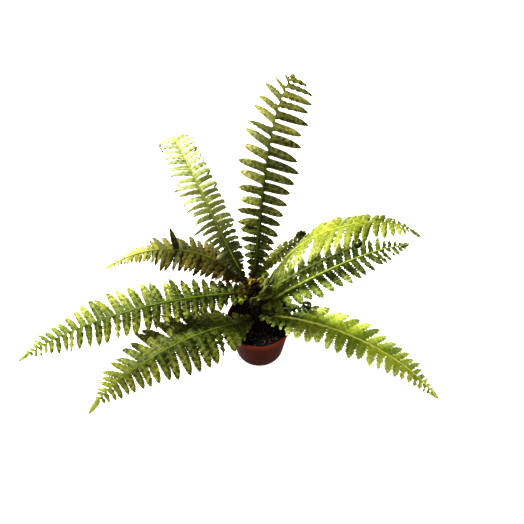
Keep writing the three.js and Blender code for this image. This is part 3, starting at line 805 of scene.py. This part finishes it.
def roll_up(foliage, leaf, walk, draw, loose):
    """Crowded curled lobes round the coil of a young frond."""
    start = STRAIGHT + leaf.length
    pairs = int(leaf.coil_turns * COIL_LOBES)
    for i in range(pairs):
        left = 1 - i / pairs
        place = place_on(walk, start + (walk.travelled[-1] - start) * (i + 0.5) / pairs)
        lobe = SimpleNamespace(
            index=-2, length=leaf.lobe * (0.25 + 0.35 * left),
            room=leaf.coil_radius * (0.2 + 0.3 * left), lean=80, rake=0, spread=1.0, uneven=0,
        )
        for hand in (1, -1):
            grow_lobe(foliage, leaf, place, hand, lobe, draw, loose)


print("makers of leaflets, end leaf and coil ready")

# %% Grow a whole frond
def grow_frond(leaf):
    """A whole frond in the place of its coarse solid."""
    walk = midrib(leaf)
    stations = stations_of(leaf)
    draw = draws(leaf.seed)
    loose = np.random.default_rng(leaf.seed)
    foliage = Foliage()
    add_tube(foliage, walk, lambda share: rib_radius(share, leaf.stout), RIB)
    foot_leaflets(foliage, leaf, walk, loose)
    for i in range(leaf.pairs):
        share = (i + 0.5) / leaf.pairs
        # The right lobe sits a quarter of the spacing further out than the middle, the left nearer.
        before, after = stations[max(i - 1, 0)], stations[min(i + 2, leaf.pairs)]
        quarter = (stations[i + 1] - before + after - stations[i]) / 16
        middle = (stations[i] + stations[i + 1]) / 2
        room = (stations[i + 1] - stations[i]) * leaf.fill * (1 - NARROWING * share ** 3)
        lobe = SimpleNamespace(
            index=i,
            length=leaf.lobe * lobe_share(leaf, share * leaf.taper if leaf.coil_turns else share),
            room=room,
            lean=leaf.lean_foot - (leaf.lean_foot - leaf.lean_tip) * share ** leaf.lean_late,
            rake=leaf.rake + (leaf.rake_tip - leaf.rake) * share,
            spread=ROOT_OVERLAP / leaf.fill,
            uneven=leaf.uneven * (1 - share) ** 2,
        )
        for hand in (1, -1):
            place = place_on(walk, middle + hand * quarter)
            grow_lobe(foliage, leaf, place, hand, lobe, draw, loose)
    if leaf.coil_turns:
        roll_up(foliage, leaf, walk, draw, loose)
    else:
        end_leaf(foliage, leaf, walk, stations[-1])
    clothe(
        foliage, walk, start=0.002, end=0.022, count=26, length=0.007, radius=STALK_RADIUS,
        loose=loose, kind=SCALE,
    )
    return foliage


print("frond maker ready, blades", THICKNESS * 1000, "mm thick")

# %% [markdown]
# ## The eight open fronds
#
# Each frond is a row of numbers. Those of its course and its lobes' places are the coarse model's
# too, so the two lie on each other. The colours are dark and old at the back, yellow and young at
# the upper right, olive and ochre at the upper left. The rest are mid green with yellow-green
# painted highlights. A few rows lift their tones as painted light where shade falls on them. What a
# row leaves out is as in a typical leaf.

# %% Describe the fronds
FRONDS = dict(
    frond_back=dict(
        seed=11, perch=0.95, length=0.384, heading=80, sweep=-17.6, bend=4, rise=61.5, fall=-10,
        late=2.2, bare=0.014, pairs=21, lobe=0.054, foot=0.2, full=0.68, taper=0.8, ending=5,
        fill=0.66, terminal=0.03, lean_tip=62, rake_tip=-22, droop=2, sag=0.28, wider=1.4,
        neck=0.14, point=3.2, foot_crimp=0.0016,
        slot="leaf_dark", tones=(0x364202, 0x3E4404, 0x54560E, 0x9C9A60), rib=0x465410,
    ),
    frond_back_left=dict(
        seed=12, perch=0.95, length=0.329, heading=134.5, sweep=-25, rise=50.5, fall=-52, late=2.9,
        pairs=30, lobe=0.048, foot=0.15, full=0.45, taper=0.75, ending=6, terminal=0.045,
        lean_foot=84, lean_tip=58, rake=-6, rake_tip=-6, droop=-16, sag=0.6, wider=1.5, crowd=0.3,
        point=2.4, curl=0.3, burnt=0.85,
        slot="leaf_yellow", tones=(0x4C5208, 0xA2AA68, 0x8C9068, 0xB8BC98), rib=0xA8B050,
    ),
    frond_left_high=dict(
        seed=13, perch=0.81, length=0.272, heading=141.5, sweep=67.5, bend=0.9, rise=47, fall=-18,
        late=0.68, pairs=28, lobe=0.044, foot=0.15, full=0.35, taper=0.56, ending=0.45, fill=0.7,
        lean_foot=88, lean_tip=60, lean_late=1, rake=8, droop=16, standing=13, right_lobes=1.1,
        left_lobes=0.88, wider=1.85, point=2.6, burnt=0.35,
        slot="leaf_olive", tones=(0x4A3C06, 0x3A3E04, 0xB8BC64, 0x8A7A38), rib=0x5A6614,
    ),
    frond_left=dict(
        seed=14, perch=0.86, length=0.427, heading=194, rise=18, fall=-37, bare=0.01, pairs=27,
        lobe=0.046, foot=0.45, full=0.45, taper=0.55, ending=1.3, fill=0.78, lean_foot=106,
        lean_tip=60, lean_late=0.7, rake=-1, rake_tip=10, droop=12, roll=-13, right_lobes=1.2,
        left_lobes=0.92, wider=1.34, point=3, crimp=0.002,
        slot="leaf_green", tones=(0x303C08, 0x424E06, 0x6C7828, 0xB2B458), rib=0x5C7016,
    ),
    frond_front_left=dict(
        seed=15, perch=0.14, length=0.352, heading=210, rise=30, fall=-53, late=1.2, bare=0.008,
        pairs=21, lobe=0.058, foot=0.22, full=0.34, taper=0.4, ending=1.3, fill=0.82, terminal=0.1,
        lean_foot=102, lean_tip=67, lean_late=0.7, rake=5, rake_tip=16, roll=-9, right_lobes=1.22,
        wider=1.2, crowd=0.3, neck=-0.35, tooth=0.0038, jag=0.16, crimp=0.0022, foot_crimp=0.0034,
        slot="leaf_green", tones=(0x465408, 0x404A06, 0x7C802E, 0xA4A450), rib=0x66781C,
    ),
    frond_front_right=dict(
        seed=16, perch=0.26, length=0.373, heading=-24, rise=31, fall=-58, late=1.1, bare=0.008,
        pairs=22, lobe=0.05, foot=0.4, full=0.25, taper=0.4, ending=1.4, fill=0.78, lean_foot=101,
        lean_tip=61, lean_late=0.6, rake=-14, rake_tip=-13, droop=12, right_lobes=0.7,
        left_lobes=1.08, wider=1.25, neck=-0.3, tooth=0.0042, jag=0.18, crimp=0.003,
        foot_crimp=0.0036, feathers=7, feather_size=1.15, feather_droop=-35, stout=0.9,
        # Its tones and rib are lifted past its own green, as painted light against the shade that its
        # crimps and the frond above cast on it.
        slot="leaf_green", tones=(0x7C8E1C, 0xB4C62C, 0xB0BC3C, 0xE8ECB4), rib=0xFAFF80,
    ),
    frond_right=dict(
        seed=17, perch=0.45, length=0.2934, heading=16.2, sweep=8.4, rise=29, fall=-28, late=1.74,
        bare=0.012, pairs=18, lobe=0.052, foot=0.95, full=0.2, taper=0.3, ending=1.3, fill=0.76,
        lean_foot=88, lean_tip=62, lean_late=0.8, rake=5, rake_tip=-2, droop=2, roll=3,
        right_lobes=0.95, uneven=0.3, wider=1.22, crowd=0.3, tooth=0.0044, jag=0.18, crimp=0.002,
        foot_crimp=0.003, feathers=14, feather_size=0.34, feather_droop=-35, stout=0.95,
        # Its foot tone is lighter than its middle one: painted light over the foot, which lies in the
        # shade of the trunk and the fronds to its left.
        slot="leaf_dark", tones=(0x76861E, 0x4A5A0C, 0x525E14, 0xB4BC7C), rib=0xCCD868,
    ),
    frond_right_high=dict(
        seed=18, perch=0.71, length=0.42, heading=-22.3, sweep=32.5, rise=76.5, fall=-74, late=2.46,
        pairs=32, lobe=0.05, foot=0.4, full=0.6, taper=0.62, ending=1.1, fill=0.74, lean_foot=92,
        lean_tip=85, lean_late=1, rake=-16, rake_tip=-22, droop=0, roll=-18, sag=0.2,
        left_lobes=0.8, wider=1.6, jag=0.2, crimp=0.002, feathers=7, feather_size=1.2,
        young=(0.38, 0.54), shaded=0.5,
        slot="leaf_yellow", tones=(0x4A5012, 0x80861E, 0x949A3C, 0xB4BA74), rib=0xA0B040,
    ),
)
print("fronds described:", len(FRONDS))

# %% Grow them
def place_leaf(name, rules):
    """Grows one leaf, gives it its finishes and puts it on the part in its solid's place."""
    leaf = SimpleNamespace(**{**TYPICAL, **rules})
    finishes = [blade_finish(name + "_blade", leaf), rib_finish(name + "_rib", leaf.rib), STALK_SCALES]
    piece = grow_frond(leaf).piece(name + "_fine", finishes, THICKNESS)
    put_on(piece, name)
    print(name, "has", len(piece.data.polygons), "faces before its thickness")


for name, rules in FRONDS.items():
    place_leaf(name, rules)

# %% [markdown]
# ## The three young fronds
#
# A young fern leaf, a crozier, unrolls from its foot. Its stalk already has small crumpled lobes,
# and its tip is still a tight coil. The same rules grow it, with the walk rolled up at its end.

# %% Describe and grow the croziers
CROZIERS = dict(
    crozier_back=dict(
        seed=21, perch=0.99, length=0.099, heading=53, sweep=-35, rise=40, fall=6.5, pairs=11,
        lobe=0.015, right_lobes=1.35, left_lobes=1.35, wider=1.7, crimp=0.0022, foot_crimp=0.0028,
        curl=0.3, coil_radius=0.0085, coil_turns=1.4, feathers=5, feather_size=2.4,
        # Its foot tone is lighter than its middle one: painted light where the stalk lies in shade by
        # the crown.
        slot="leaf_olive", tones=(0x787C20, 0x6C6C1C, 0x2A2804, 0xB4B868), rib=0x6C7828,
    ),
    crozier_right=dict(
        seed=22, perch=0.68, length=0.184, heading=17, rise=37, fall=14, pairs=15, lobe=0.009,
        foot=0.4, crimp=0.001, foot_crimp=0.0012, curl=0.3, coil_radius=0.008, coil_turns=1.4,
        feathers=10, feather_size=3.6,
        # Its foot tone is lighter than its middle one: painted light where the stalk lies in shade by
        # the crown.
        slot="leaf_dark", tones=(0x747E24, 0x384410, 0x2E380C, 0x8C9444), rib=0x5C6414,
    ),
    crozier_front=dict(
        seed=23, perch=0.36, length=0.074, heading=-9, rise=18, fall=26, pairs=8, lobe=0.008,
        crimp=0.001, foot_crimp=0.0012, curl=0.3, coil_radius=0.008, coil_turns=1.4, feathers=8,
        feather_size=4.5,
        # Its foot tone is lighter than its middle one: painted light where the stalk lies in shade by
        # the crown.
        slot="leaf_dark", tones=(0x6C7820, 0x3E4A12, 0x343E10, 0x84903E), rib=0x3C440E,
    ),
)
for name, rules in CROZIERS.items():
    place_leaf(name, rules)

# %% [markdown]
# ## The trunk
#
# A tree fern's trunk is the stack of its old leaf feet, dark and rough, with a knot of coiled buds
# in golden-brown scales on top. It could be sculpted by hand, but stubs and scales follow simple
# rules. So it is a turned column whose radius is roughened with layered noise, with broken stubs
# that wind up it, and then hundreds of scales, thickest at the crown.

# %% The column and its stubs
TRUNK_DEPTH = 0.024
CROWN_HEIGHT = 0.008
COLUMN_ROWS, COLUMN_SIDES = 90, 72
COLUMN_LEVELS = np.array([0, 0, 0, 0.3, 0.6, 0.85, 1, 1.08, 1.1])
COLUMN_WIDTHS = np.array([0.02, 0.8, 1, 1, 1, 1, 1, 0.62, 0.02])
BARK_LAYERS = ((160, 0.55), (420, 0.3), (900, 0.15))
BARK_ROUGHNESS = 0.0016
BARK, GOLDEN, BUD_SKIN = 0, 1, 2

east = unit(np.cross([0.0, 1.0, 0.0], trunk_axis))
north = np.cross(trunk_axis, east)


def on_trunk(height, angle, radius):
    """Points at heights along the trunk's axis, angles round it and distances from it."""
    ring = east * np.cos(angle)[..., None] + north * np.sin(angle)[..., None]
    return TRUNK_FOOT + trunk_axis * height[..., None] + ring * radius[..., None]


def add_column(foliage):
    """The rough column, from inside the mix to its rounded crown."""
    heights = COLUMN_LEVELS * trunk_height
    heights[:2] = -TRUNK_DEPTH
    radii = trunk_radius(np.minimum(COLUMN_LEVELS, 1)) * COLUMN_WIDTHS
    level = np.linspace(0, 1, COLUMN_ROWS)[:, None]
    spots = np.linspace(0, 1, len(heights))
    height, radius = np.interp(level, spots, heights), np.interp(level, spots, radii)
    angle = np.arange(COLUMN_SIDES) * 2 * pi / COLUMN_SIDES
    points = on_trunk(height + 0 * angle, angle + 0 * height, radius + 0 * angle)
    middle = TRUNK_FOOT + trunk_axis * height
    for row in range(COLUMN_ROWS):
        for column in range(COLUMN_SIDES):
            spot = Vector(points[row, column])
            rough = sum(noise.noise(spot * scale) * share for scale, share in BARK_LAYERS)
            away = unit(points[row, column] - middle[row] + 1e-9)
            points[row, column] += away * rough * BARK_ROUGHNESS
    growth = spread(points.shape[:2], level, 0.5, 0)
    foliage.grid(points, growth, 0 * points, BARK, closed=True, flip=True)


def add_peg(foliage, start, way, length, foot, end, loose, kind):
    """A rough broken peg with a ragged end."""
    rings, sides = 5, 7
    t = np.array([0, 0.35, 0.7, 1.0, 1.0])
    reach = np.array([1, 0.9, 0.75, 0.6, 0.05])
    side = unit(np.cross(way, [0.3, 0.2, 1.0]))
    other = np.cross(way, side)
    angle = (np.arange(sides) * 2 * pi / sides)[:, None]
    radius = ((foot + (end - foot) * t) * reach)[:, None] * loose.uniform(0.8, 1.25, (rings, sides))
    ring = side * np.cos(angle) + other * np.sin(angle)
    points = start + way * (length * t)[:, None, None] + ring * radius[..., None]
    growth = spread((rings, sides), 0.5, loose.random(), t[:, None])
    foliage.grid(points, growth, 0 * points, kind, closed=True)


print("column and stub makers ready")

# %% The finishes of bark and buds
def bark_finish():
    """Nearly black bark, with browner ends on the stubs."""
    made = Finish("trunk_bark", Roughness=0.85)
    _, luck, reach = made.mark("growth")
    rough = made.band(made.cloud(220, 4), 0.35, 0.7)
    body = made.blend(rough, colour(0x080503), colour(0x1A100A))
    ends = made.work("MULTIPLY", luck, made.band(reach, 0.2, 1.0))
    body = made.blend(ends, body, colour(0x302010))
    made.relief(made.cloud(700, 4), 0.0008)
    return made.coat(body)


def bud_finish():
    """Olive-gold skin of a young bud between its scales."""
    made = Finish("bud_skin", Roughness=0.5, Specular_IOR_Level=0.3)
    spots = made.band(made.cloud(400, 3), 0.35, 0.65)
    body = made.blend(spots, colour(0x4A4408), colour(0xA09434))
    made.relief(made.cloud(1200, 2), 0.0004, 0.8)
    return made.coat(body)


print("bark and bud finishes ready")

# %% Raise the trunk with its stubs
STUBS, STUB_TURN = 44, 137.5
STUB_FOOT, STUB_END = 0.0026, 0.0018

trunk_loose = np.random.default_rng(41)
trunk = Foliage()
add_column(trunk)
for i in range(STUBS):
    share = 0.06 + 0.9 * i / STUBS
    out = outward(i * STUB_TURN)
    start = TRUNK_FOOT + trunk_axis * share * trunk_height + out * (trunk_radius(share) - 0.002)
    way = unit(out * 0.7 + trunk_axis * trunk_loose.uniform(0.5, 1.1))
    length = trunk_loose.uniform(0.004, 0.0075)
    add_peg(trunk, start, way, length, STUB_FOOT, STUB_END, trunk_loose, BARK)
print("trunk stubs:", STUBS)

# %% Buds on the crown
BUDS = ((250, 0.0034), (20, 0.0028), (140, 0.0026))
BUD_SWELL = 1.35
BUD_RING = 0.0044
BUD_TURNS, BUD_STEPS, BUD_SCALES = 1.6, 40, 60


def add_bud(foliage, heading, size, loose):
    """A tight coiled bud: a fat tube rolled up like a crozier, with its scales."""
    angle = np.linspace(0, BUD_TURNS * 2 * pi, BUD_STEPS)[:, None]
    shrink = np.linspace(1, 0.3, BUD_STEPS)[:, None]
    out, up = outward(heading), np.array([0, 0, 1.0])
    centre = TRUNK_CROWN + out * BUD_RING + trunk_axis * (CROWN_HEIGHT + size * 0.6)
    spine = centre + (out * np.cos(angle) + up * np.sin(angle)) * (size * shrink)
    steps = np.linalg.norm(np.diff(spine, axis=0), axis=1)
    walk = SimpleNamespace(
        share=np.linspace(0, 1, BUD_STEPS), point=spine, along=unit(np.gradient(spine, axis=0)),
        side=np.tile(np.cross(out, up), (BUD_STEPS, 1)),
        travelled=np.concatenate([[0], np.cumsum(steps)]),
    )
    walk.up = np.cross(walk.side, walk.along)
    add_tube(foliage, walk, lambda share: size * 0.75 * (1 - 0.5 * share), BUD_SKIN, spacing=0.001)
    clothe(
        foliage, walk, start=0, end=walk.travelled[-1], count=BUD_SCALES, length=0.006,
        radius=size * 0.6, loose=loose, kind=GOLDEN,
    )


for heading, size in BUDS:
    add_bud(trunk, heading, size * BUD_SWELL, trunk_loose)
print("buds on the crown:", len(BUDS))

# %% Scales on the crown, and the finished trunk
CROWN_SCALES = 620

for _ in range(CROWN_SCALES):
    share = 1.05 * trunk_loose.random() ** 0.16
    angle = np.array(trunk_loose.uniform(0, 2 * pi))
    ring = on_trunk(np.array(0.0), angle, np.array(1.0)) - TRUNK_FOOT
    narrow = 1.0 if share < 1 else 0.8
    root = TRUNK_FOOT + trunk_axis * share * trunk_height + ring * trunk_radius(min(share, 1)) * narrow
    way = unit(trunk_axis + ring * trunk_loose.uniform(0.2, 0.9))
    size = trunk_loose.uniform(0.005, 0.012)
    width = size * CROWN_SCALE_WIDTH
    add_scale(trunk, root, way, ring, size, width, trunk_loose.random(), GOLDEN)

crown_scales = scale_finish("crown_scales", 0x50420E, 0xA08C30, 0xBCA854)
trunk_piece = trunk.piece("trunk_fine", [bark_finish(), crown_scales, bud_finish()])
put_on(trunk_piece, "trunk")
print("trunk has", len(trunk_piece.data.polygons), "faces")

# %% [markdown]
# ## The potting mix
#
# Moist peat and bark is nearly black, crumbly and uneven, with a few paler bits on top. A heap of
# loose crumbs alone would be slow to pile up and would leave gaps. So the body is one closed
# surface: up the wall of the trunk's hole, out over the lumpy top, down inside the pot and back
# under. Layered noise roughens the top. Dry fibres, loose crumbs and chips lie in it.

# %% The body of the mix
POT_HEIGHT, RIM_RADIUS, BASE_RADIUS, WALL = 0.1, 0.06, 0.0455, 0.0014
LIP_HEIGHT, LIP_STEP = 0.01, 0.0022
GAP = 0.0003
AXIS = 0.0001
MIX_EDGE, MIX_SWELL = 0.089, 0.003
MIX_LAYERS = ((70, 0.0016), (190, 0.0012), (480, 0.0007), (1100, 0.0003))
HOLE_RADIUS, HOLE_FLOOR = FOOT_RADIUS + GAP, 0.066
PEAT, FIBRE = 0, 1


def wall_radius(z):
    """The pot's outer radius below its lip, at a height."""
    return BASE_RADIUS + (RIM_RADIUS - LIP_STEP - BASE_RADIUS) * z / POT_HEIGHT


def mix_height(x, y):
    """The lumpy top of the mix."""
    reach = (x * x + y * y) ** 0.5
    swell = MIX_SWELL * (1 - reach / wall_radius(MIX_EDGE))
    spot = Vector((x, y, 0.3))
    return MIX_EDGE + swell + sum(size * noise.noise(spot * scale) for scale, size in MIX_LAYERS)


def mix_body(foliage):
    """The closed surface of the mix, ring by ring from the middle of the hole's floor."""
    sectors, rings = 180, 70
    edge = wall_radius(MIX_EDGE) - WALL - GAP
    low = WALL + GAP
    angle = np.arange(sectors) * 2 * pi / sectors
    top = [(radius, None) for radius in np.linspace(HOLE_RADIUS, edge, rings)]
    hole = [(2 * AXIS, HOLE_FLOOR), (HOLE_RADIUS, HOLE_FLOOR)]
    under = [(wall_radius(low) - WALL - GAP, low), (2 * AXIS, low)]
    rows = []
    for radius, height in hole + top + under:
        x, y = radius * np.cos(angle), radius * np.sin(angle)
        z = [mix_height(*spot) if height is None else height for spot in zip(x, y)]
        rows.append(np.stack([x, y, z], axis=-1))
    points = np.array(rows)
    growth = spread(points.shape[:2], 0, 0.15, 0)
    foliage.grid(points, growth, 0 * points, PEAT, closed=True)


print("top of the mix, mm below the rim:", round((POT_HEIGHT - MIX_EDGE) * 1000, 1))

# %% Fibres, crumbs and chips
FIBRE_FOOT, FIBRE_END = 0.0006, 0.0003


def strew_fibres(foliage, count, seed):
    """Dry root fibres that lie on the front half of the mix."""
    loose = np.random.default_rng(seed)
    for _ in range(count):
        reach, turn = loose.uniform(0.022, 0.042), loose.uniform(-pi, 0)
        x, y = reach * cos(turn), reach * sin(turn)
        start = np.array([x, y, mix_height(x, y) + 0.0006])
        way = unit(np.append(loose.normal(0, 1, 2), loose.uniform(0, 0.4)))
        length = loose.uniform(0.004, 0.011)
        add_peg(foliage, start, way, length, FIBRE_FOOT, FIBRE_END, loose, FIBRE)


def crumb_shape():
    """The corners and faces of a small ball, to be squashed into crumbs."""
    ball = bmesh.new()
    bmesh.ops.create_icosphere(ball, subdivisions=2, radius=1)
    corners = np.array([v.co for v in ball.verts])
    faces = np.array([[v.index for v in f.verts] for f in ball.faces])
    ball.free()
    return corners, faces


def scatter_crumbs(count, seed):
    """Points and faces of crumbs over the mix, with a lucky number for each one's colour."""
    loose = np.random.default_rng(seed)
    corners, faces = crumb_shape()
    near, far = HOLE_RADIUS + 0.002, wall_radius(MIX_EDGE) - WALL - 0.003
    points, joined, luck = [], [], []
    for i in range(count):
        reach = near + (far - near) * loose.random() ** 0.7
        turn = loose.uniform(0, 2 * pi)
        x, y = reach * cos(turn), reach * sin(turn)
        size = loose.uniform(0.0007, 0.0022)
        stretch = size * loose.uniform(0.45, 1.5, 3) * [1.3, 1, 0.6]
        spin, tilt = loose.uniform(0, 2 * pi), loose.uniform(-0.5, 0.5)
        ragged = corners * (1 + loose.normal(0, 0.12, (len(corners), 1))) * stretch
        tipping = [[1, 0, 0], [0, cos(tilt), sin(tilt)], [0, -sin(tilt), cos(tilt)]]
        turning = [[cos(spin), sin(spin), 0], [-sin(spin), cos(spin), 0], [0, 0, 1]]
        crumb = ragged @ np.array(tipping) @ np.array(turning)
        points.append(crumb + [x, y, mix_height(x, y) + size * 0.2])
        joined.append(faces + i * len(corners))
        luck.append(np.full(len(corners), loose.random()))
    return np.concatenate(points), np.concatenate(joined), np.concatenate(luck)


print("a crumb has", len(crumb_shape()[1]), "faces")

# %% The mix's finish, and the finished mix
CRUMBS, FIBRES = 700, 40


def mix_finish():
    """Black-brown peat; about one crumb in ten is pale bark or grit."""
    made = Finish("potting_mix", Roughness=0.9)
    _, luck, _ = made.mark("growth")
    grain = made.band(made.cloud(500, 4), 0.35, 0.7)
    body = made.blend(grain, colour(0x030302), colour(0x0E0A06))
    body = made.blend(made.band(luck, 0.2, 0.9, 0.0, 0.6), body, colour(0x1C120C))
    body = made.blend(made.band(luck, 0.86, 0.92), body, colour(0x5E5446))
    made.relief(made.cloud(1500, 3), 0.0006, 0.9)
    return made.coat(body)


peat = mix_finish()
dry_fibre = Finish("dry_fibre", Base_Color=colour(0x8A6250), Roughness=0.8).material
mix = Foliage()
mix_body(mix)
strew_fibres(mix, FIBRES, 37)
mix_piece = mix.piece("potting_mix_fine", [peat, dry_fibre])
put_on(mix_piece, "potting_mix")

crumbs, crumb_faces, crumb_luck = scatter_crumbs(CRUMBS, 31)
crumb_mesh = bpy.data.meshes.new("crumbs")
crumb_mesh.from_pydata(crumbs, [], crumb_faces.tolist())
store_mark(crumb_mesh, "growth", spread(crumb_luck.shape, 0, crumb_luck, 0))
crumb_mesh.materials.append(peat)
crumb_piece = bpy.data.objects.new("mix_crumbs", crumb_mesh)
bpy.context.collection.objects.link(crumb_piece)
put_on(crumb_piece)
print("mix has", len(mix_piece.data.polygons), "faces and", CRUMBS, "crumbs")

# %% [markdown]
# ## The pot
#
# A nursery pot is one thin moulding: a tapered cup, a lip with a step under it, and drain holes in
# the floor. A cylinder could be scaled and hollowed, but the lip and the rounded foot come out
# truest from a drawn profile. It is turned round the axis, the holes are cut with a Boolean, and a
# narrow bevel rounds the edges, because light runs along a rounded plastic edge and not a sharp one.

# %% Turn the cup
POT_FACETS = 144


def pot_profile():
    """Radius and height round the wall's section, from the middle underneath to the middle inside."""
    step = POT_HEIGHT - LIP_HEIGHT
    inside = wall_radius(POT_HEIGHT) - WALL
    underside = [(AXIS, 0), (BASE_RADIUS - 0.002, 0), (BASE_RADIUS - 0.0006, 0.0006)]
    outside = [(BASE_RADIUS, 0.002), (wall_radius(0.045), 0.045), (wall_radius(step), step)]
    lip = [
        (RIM_RADIUS - 0.0008, step), (RIM_RADIUS, POT_HEIGHT - 0.001),
        (RIM_RADIUS - 0.0004, POT_HEIGHT - 0.0003), (RIM_RADIUS - 0.001, POT_HEIGHT),
        (inside + 0.0006, POT_HEIGHT), (inside, POT_HEIGHT - 0.0015),
    ]
    bowl = [(wall_radius(WALL + 0.002) - WALL, WALL + 0.002), (BASE_RADIUS - WALL - 0.0025, WALL)]
    return underside + outside + lip + bowl + [(AXIS, WALL)]


def turn_cup():
    """The pot's section turned round its axis."""
    angle = np.arange(POT_FACETS) * 2 * pi / POT_FACETS
    points = np.array([[(r * cos(a), r * sin(a), z) for a in angle] for r, z in pot_profile()])
    cup = Foliage()
    cup.grid(points, 0 * points, 0 * points, 0, closed=True, flip=True)
    return cup.piece("pot_fine", [])


pot_piece = turn_cup()
print("pot turned, points in its section:", len(pot_profile()))

# %% Cut its drain holes
DRAIN_HOLES, DRAIN_RADIUS, DRAIN_RING = 8, 0.0035, 0.031


def drill_holes(cup):
    """Cuts the drain holes and keeps the result as a plain mesh."""
    bores = bpy.data.meshes.new("bores")
    drill = bmesh.new()
    for i in range(DRAIN_HOLES):
        middle = outward(360 * (i + 0.5) / DRAIN_HOLES) * DRAIN_RING
        bore = bmesh.ops.create_cone(
            drill, segments=24, radius1=DRAIN_RADIUS, radius2=DRAIN_RADIUS, depth=3 * WALL,
            cap_ends=True,
        )
        bmesh.ops.translate(drill, verts=bore["verts"], vec=(*middle[:2], WALL / 2))
    drill.to_mesh(bores)
    drill.free()
    tool = bpy.data.objects.new("bores", bores)
    bpy.context.collection.objects.link(tool)
    cut = cup.modifiers.new("drain_holes", "BOOLEAN")
    cut.object = tool
    cut.operation = "DIFFERENCE"
    ready = cup.evaluated_get(bpy.context.evaluated_depsgraph_get())
    whole = bpy.data.meshes.new_from_object(ready)
    cup.modifiers.clear()
    cup.data = whole
    bpy.data.objects.remove(tool)


drill_holes(pot_piece)
print("pot has", len(pot_piece.data.polygons), "faces with its holes")

# %% The pot's finish, and the finished pot
EDGE_ANGLE, EDGE_WIDTH = 35, 0.0003


def pot_finish():
    """Satin brick-red plastic with a painted highlight on the lip, dried splashes of mix and fine
    scuffs.
    """
    made = Finish("pot_plastic", Roughness=0.55, Specular_IOR_Level=0.03)
    _, _, z = made.split(made.place())
    step = POT_HEIGHT - LIP_HEIGHT
    # The lip is painted lighter than the body as a painted highlight, since pot and lip are one
    # plastic.
    body = made.blend(made.band(z, step - 0.0015, step + 0.0005), colour(0x461A0C), colour(0x6C3020))
    shades = made.band(made.cloud(35, 3), 0.4, 0.7, 0.0, 0.35)
    body = made.blend(shades, body, colour(0x401810))
    splashes = made.band(made.cloud(260, 5), 0.55, 0.75)
    lower = made.band(z, 0.1, 0.02, 0.05, 0.3)
    body = made.blend(made.work("MULTIPLY", splashes, lower), body, colour(0x4A2412))
    made.relief(made.cloud(1300, 2), 0.0002, 0.35)
    return made.coat(body)


pot_piece.data.materials.append(pot_finish())
pot_piece.data.shade_smooth()
pot_piece.data.set_sharp_from_angle(angle=radians(EDGE_ANGLE))
edge = pot_piece.modifiers.new("rounded_edges", "BEVEL")
edge.width = EDGE_WIDTH
edge.segments = 2
edge.limit_method = "ANGLE"
edge.angle_limit = radians(EDGE_ANGLE)
put_on(pot_piece, "pot")
print("pot finished, edges rounded by", EDGE_WIDTH * 1000, "mm")

# %% [markdown]
# ## One body
#
# Every fine piece rides on the part's one body.
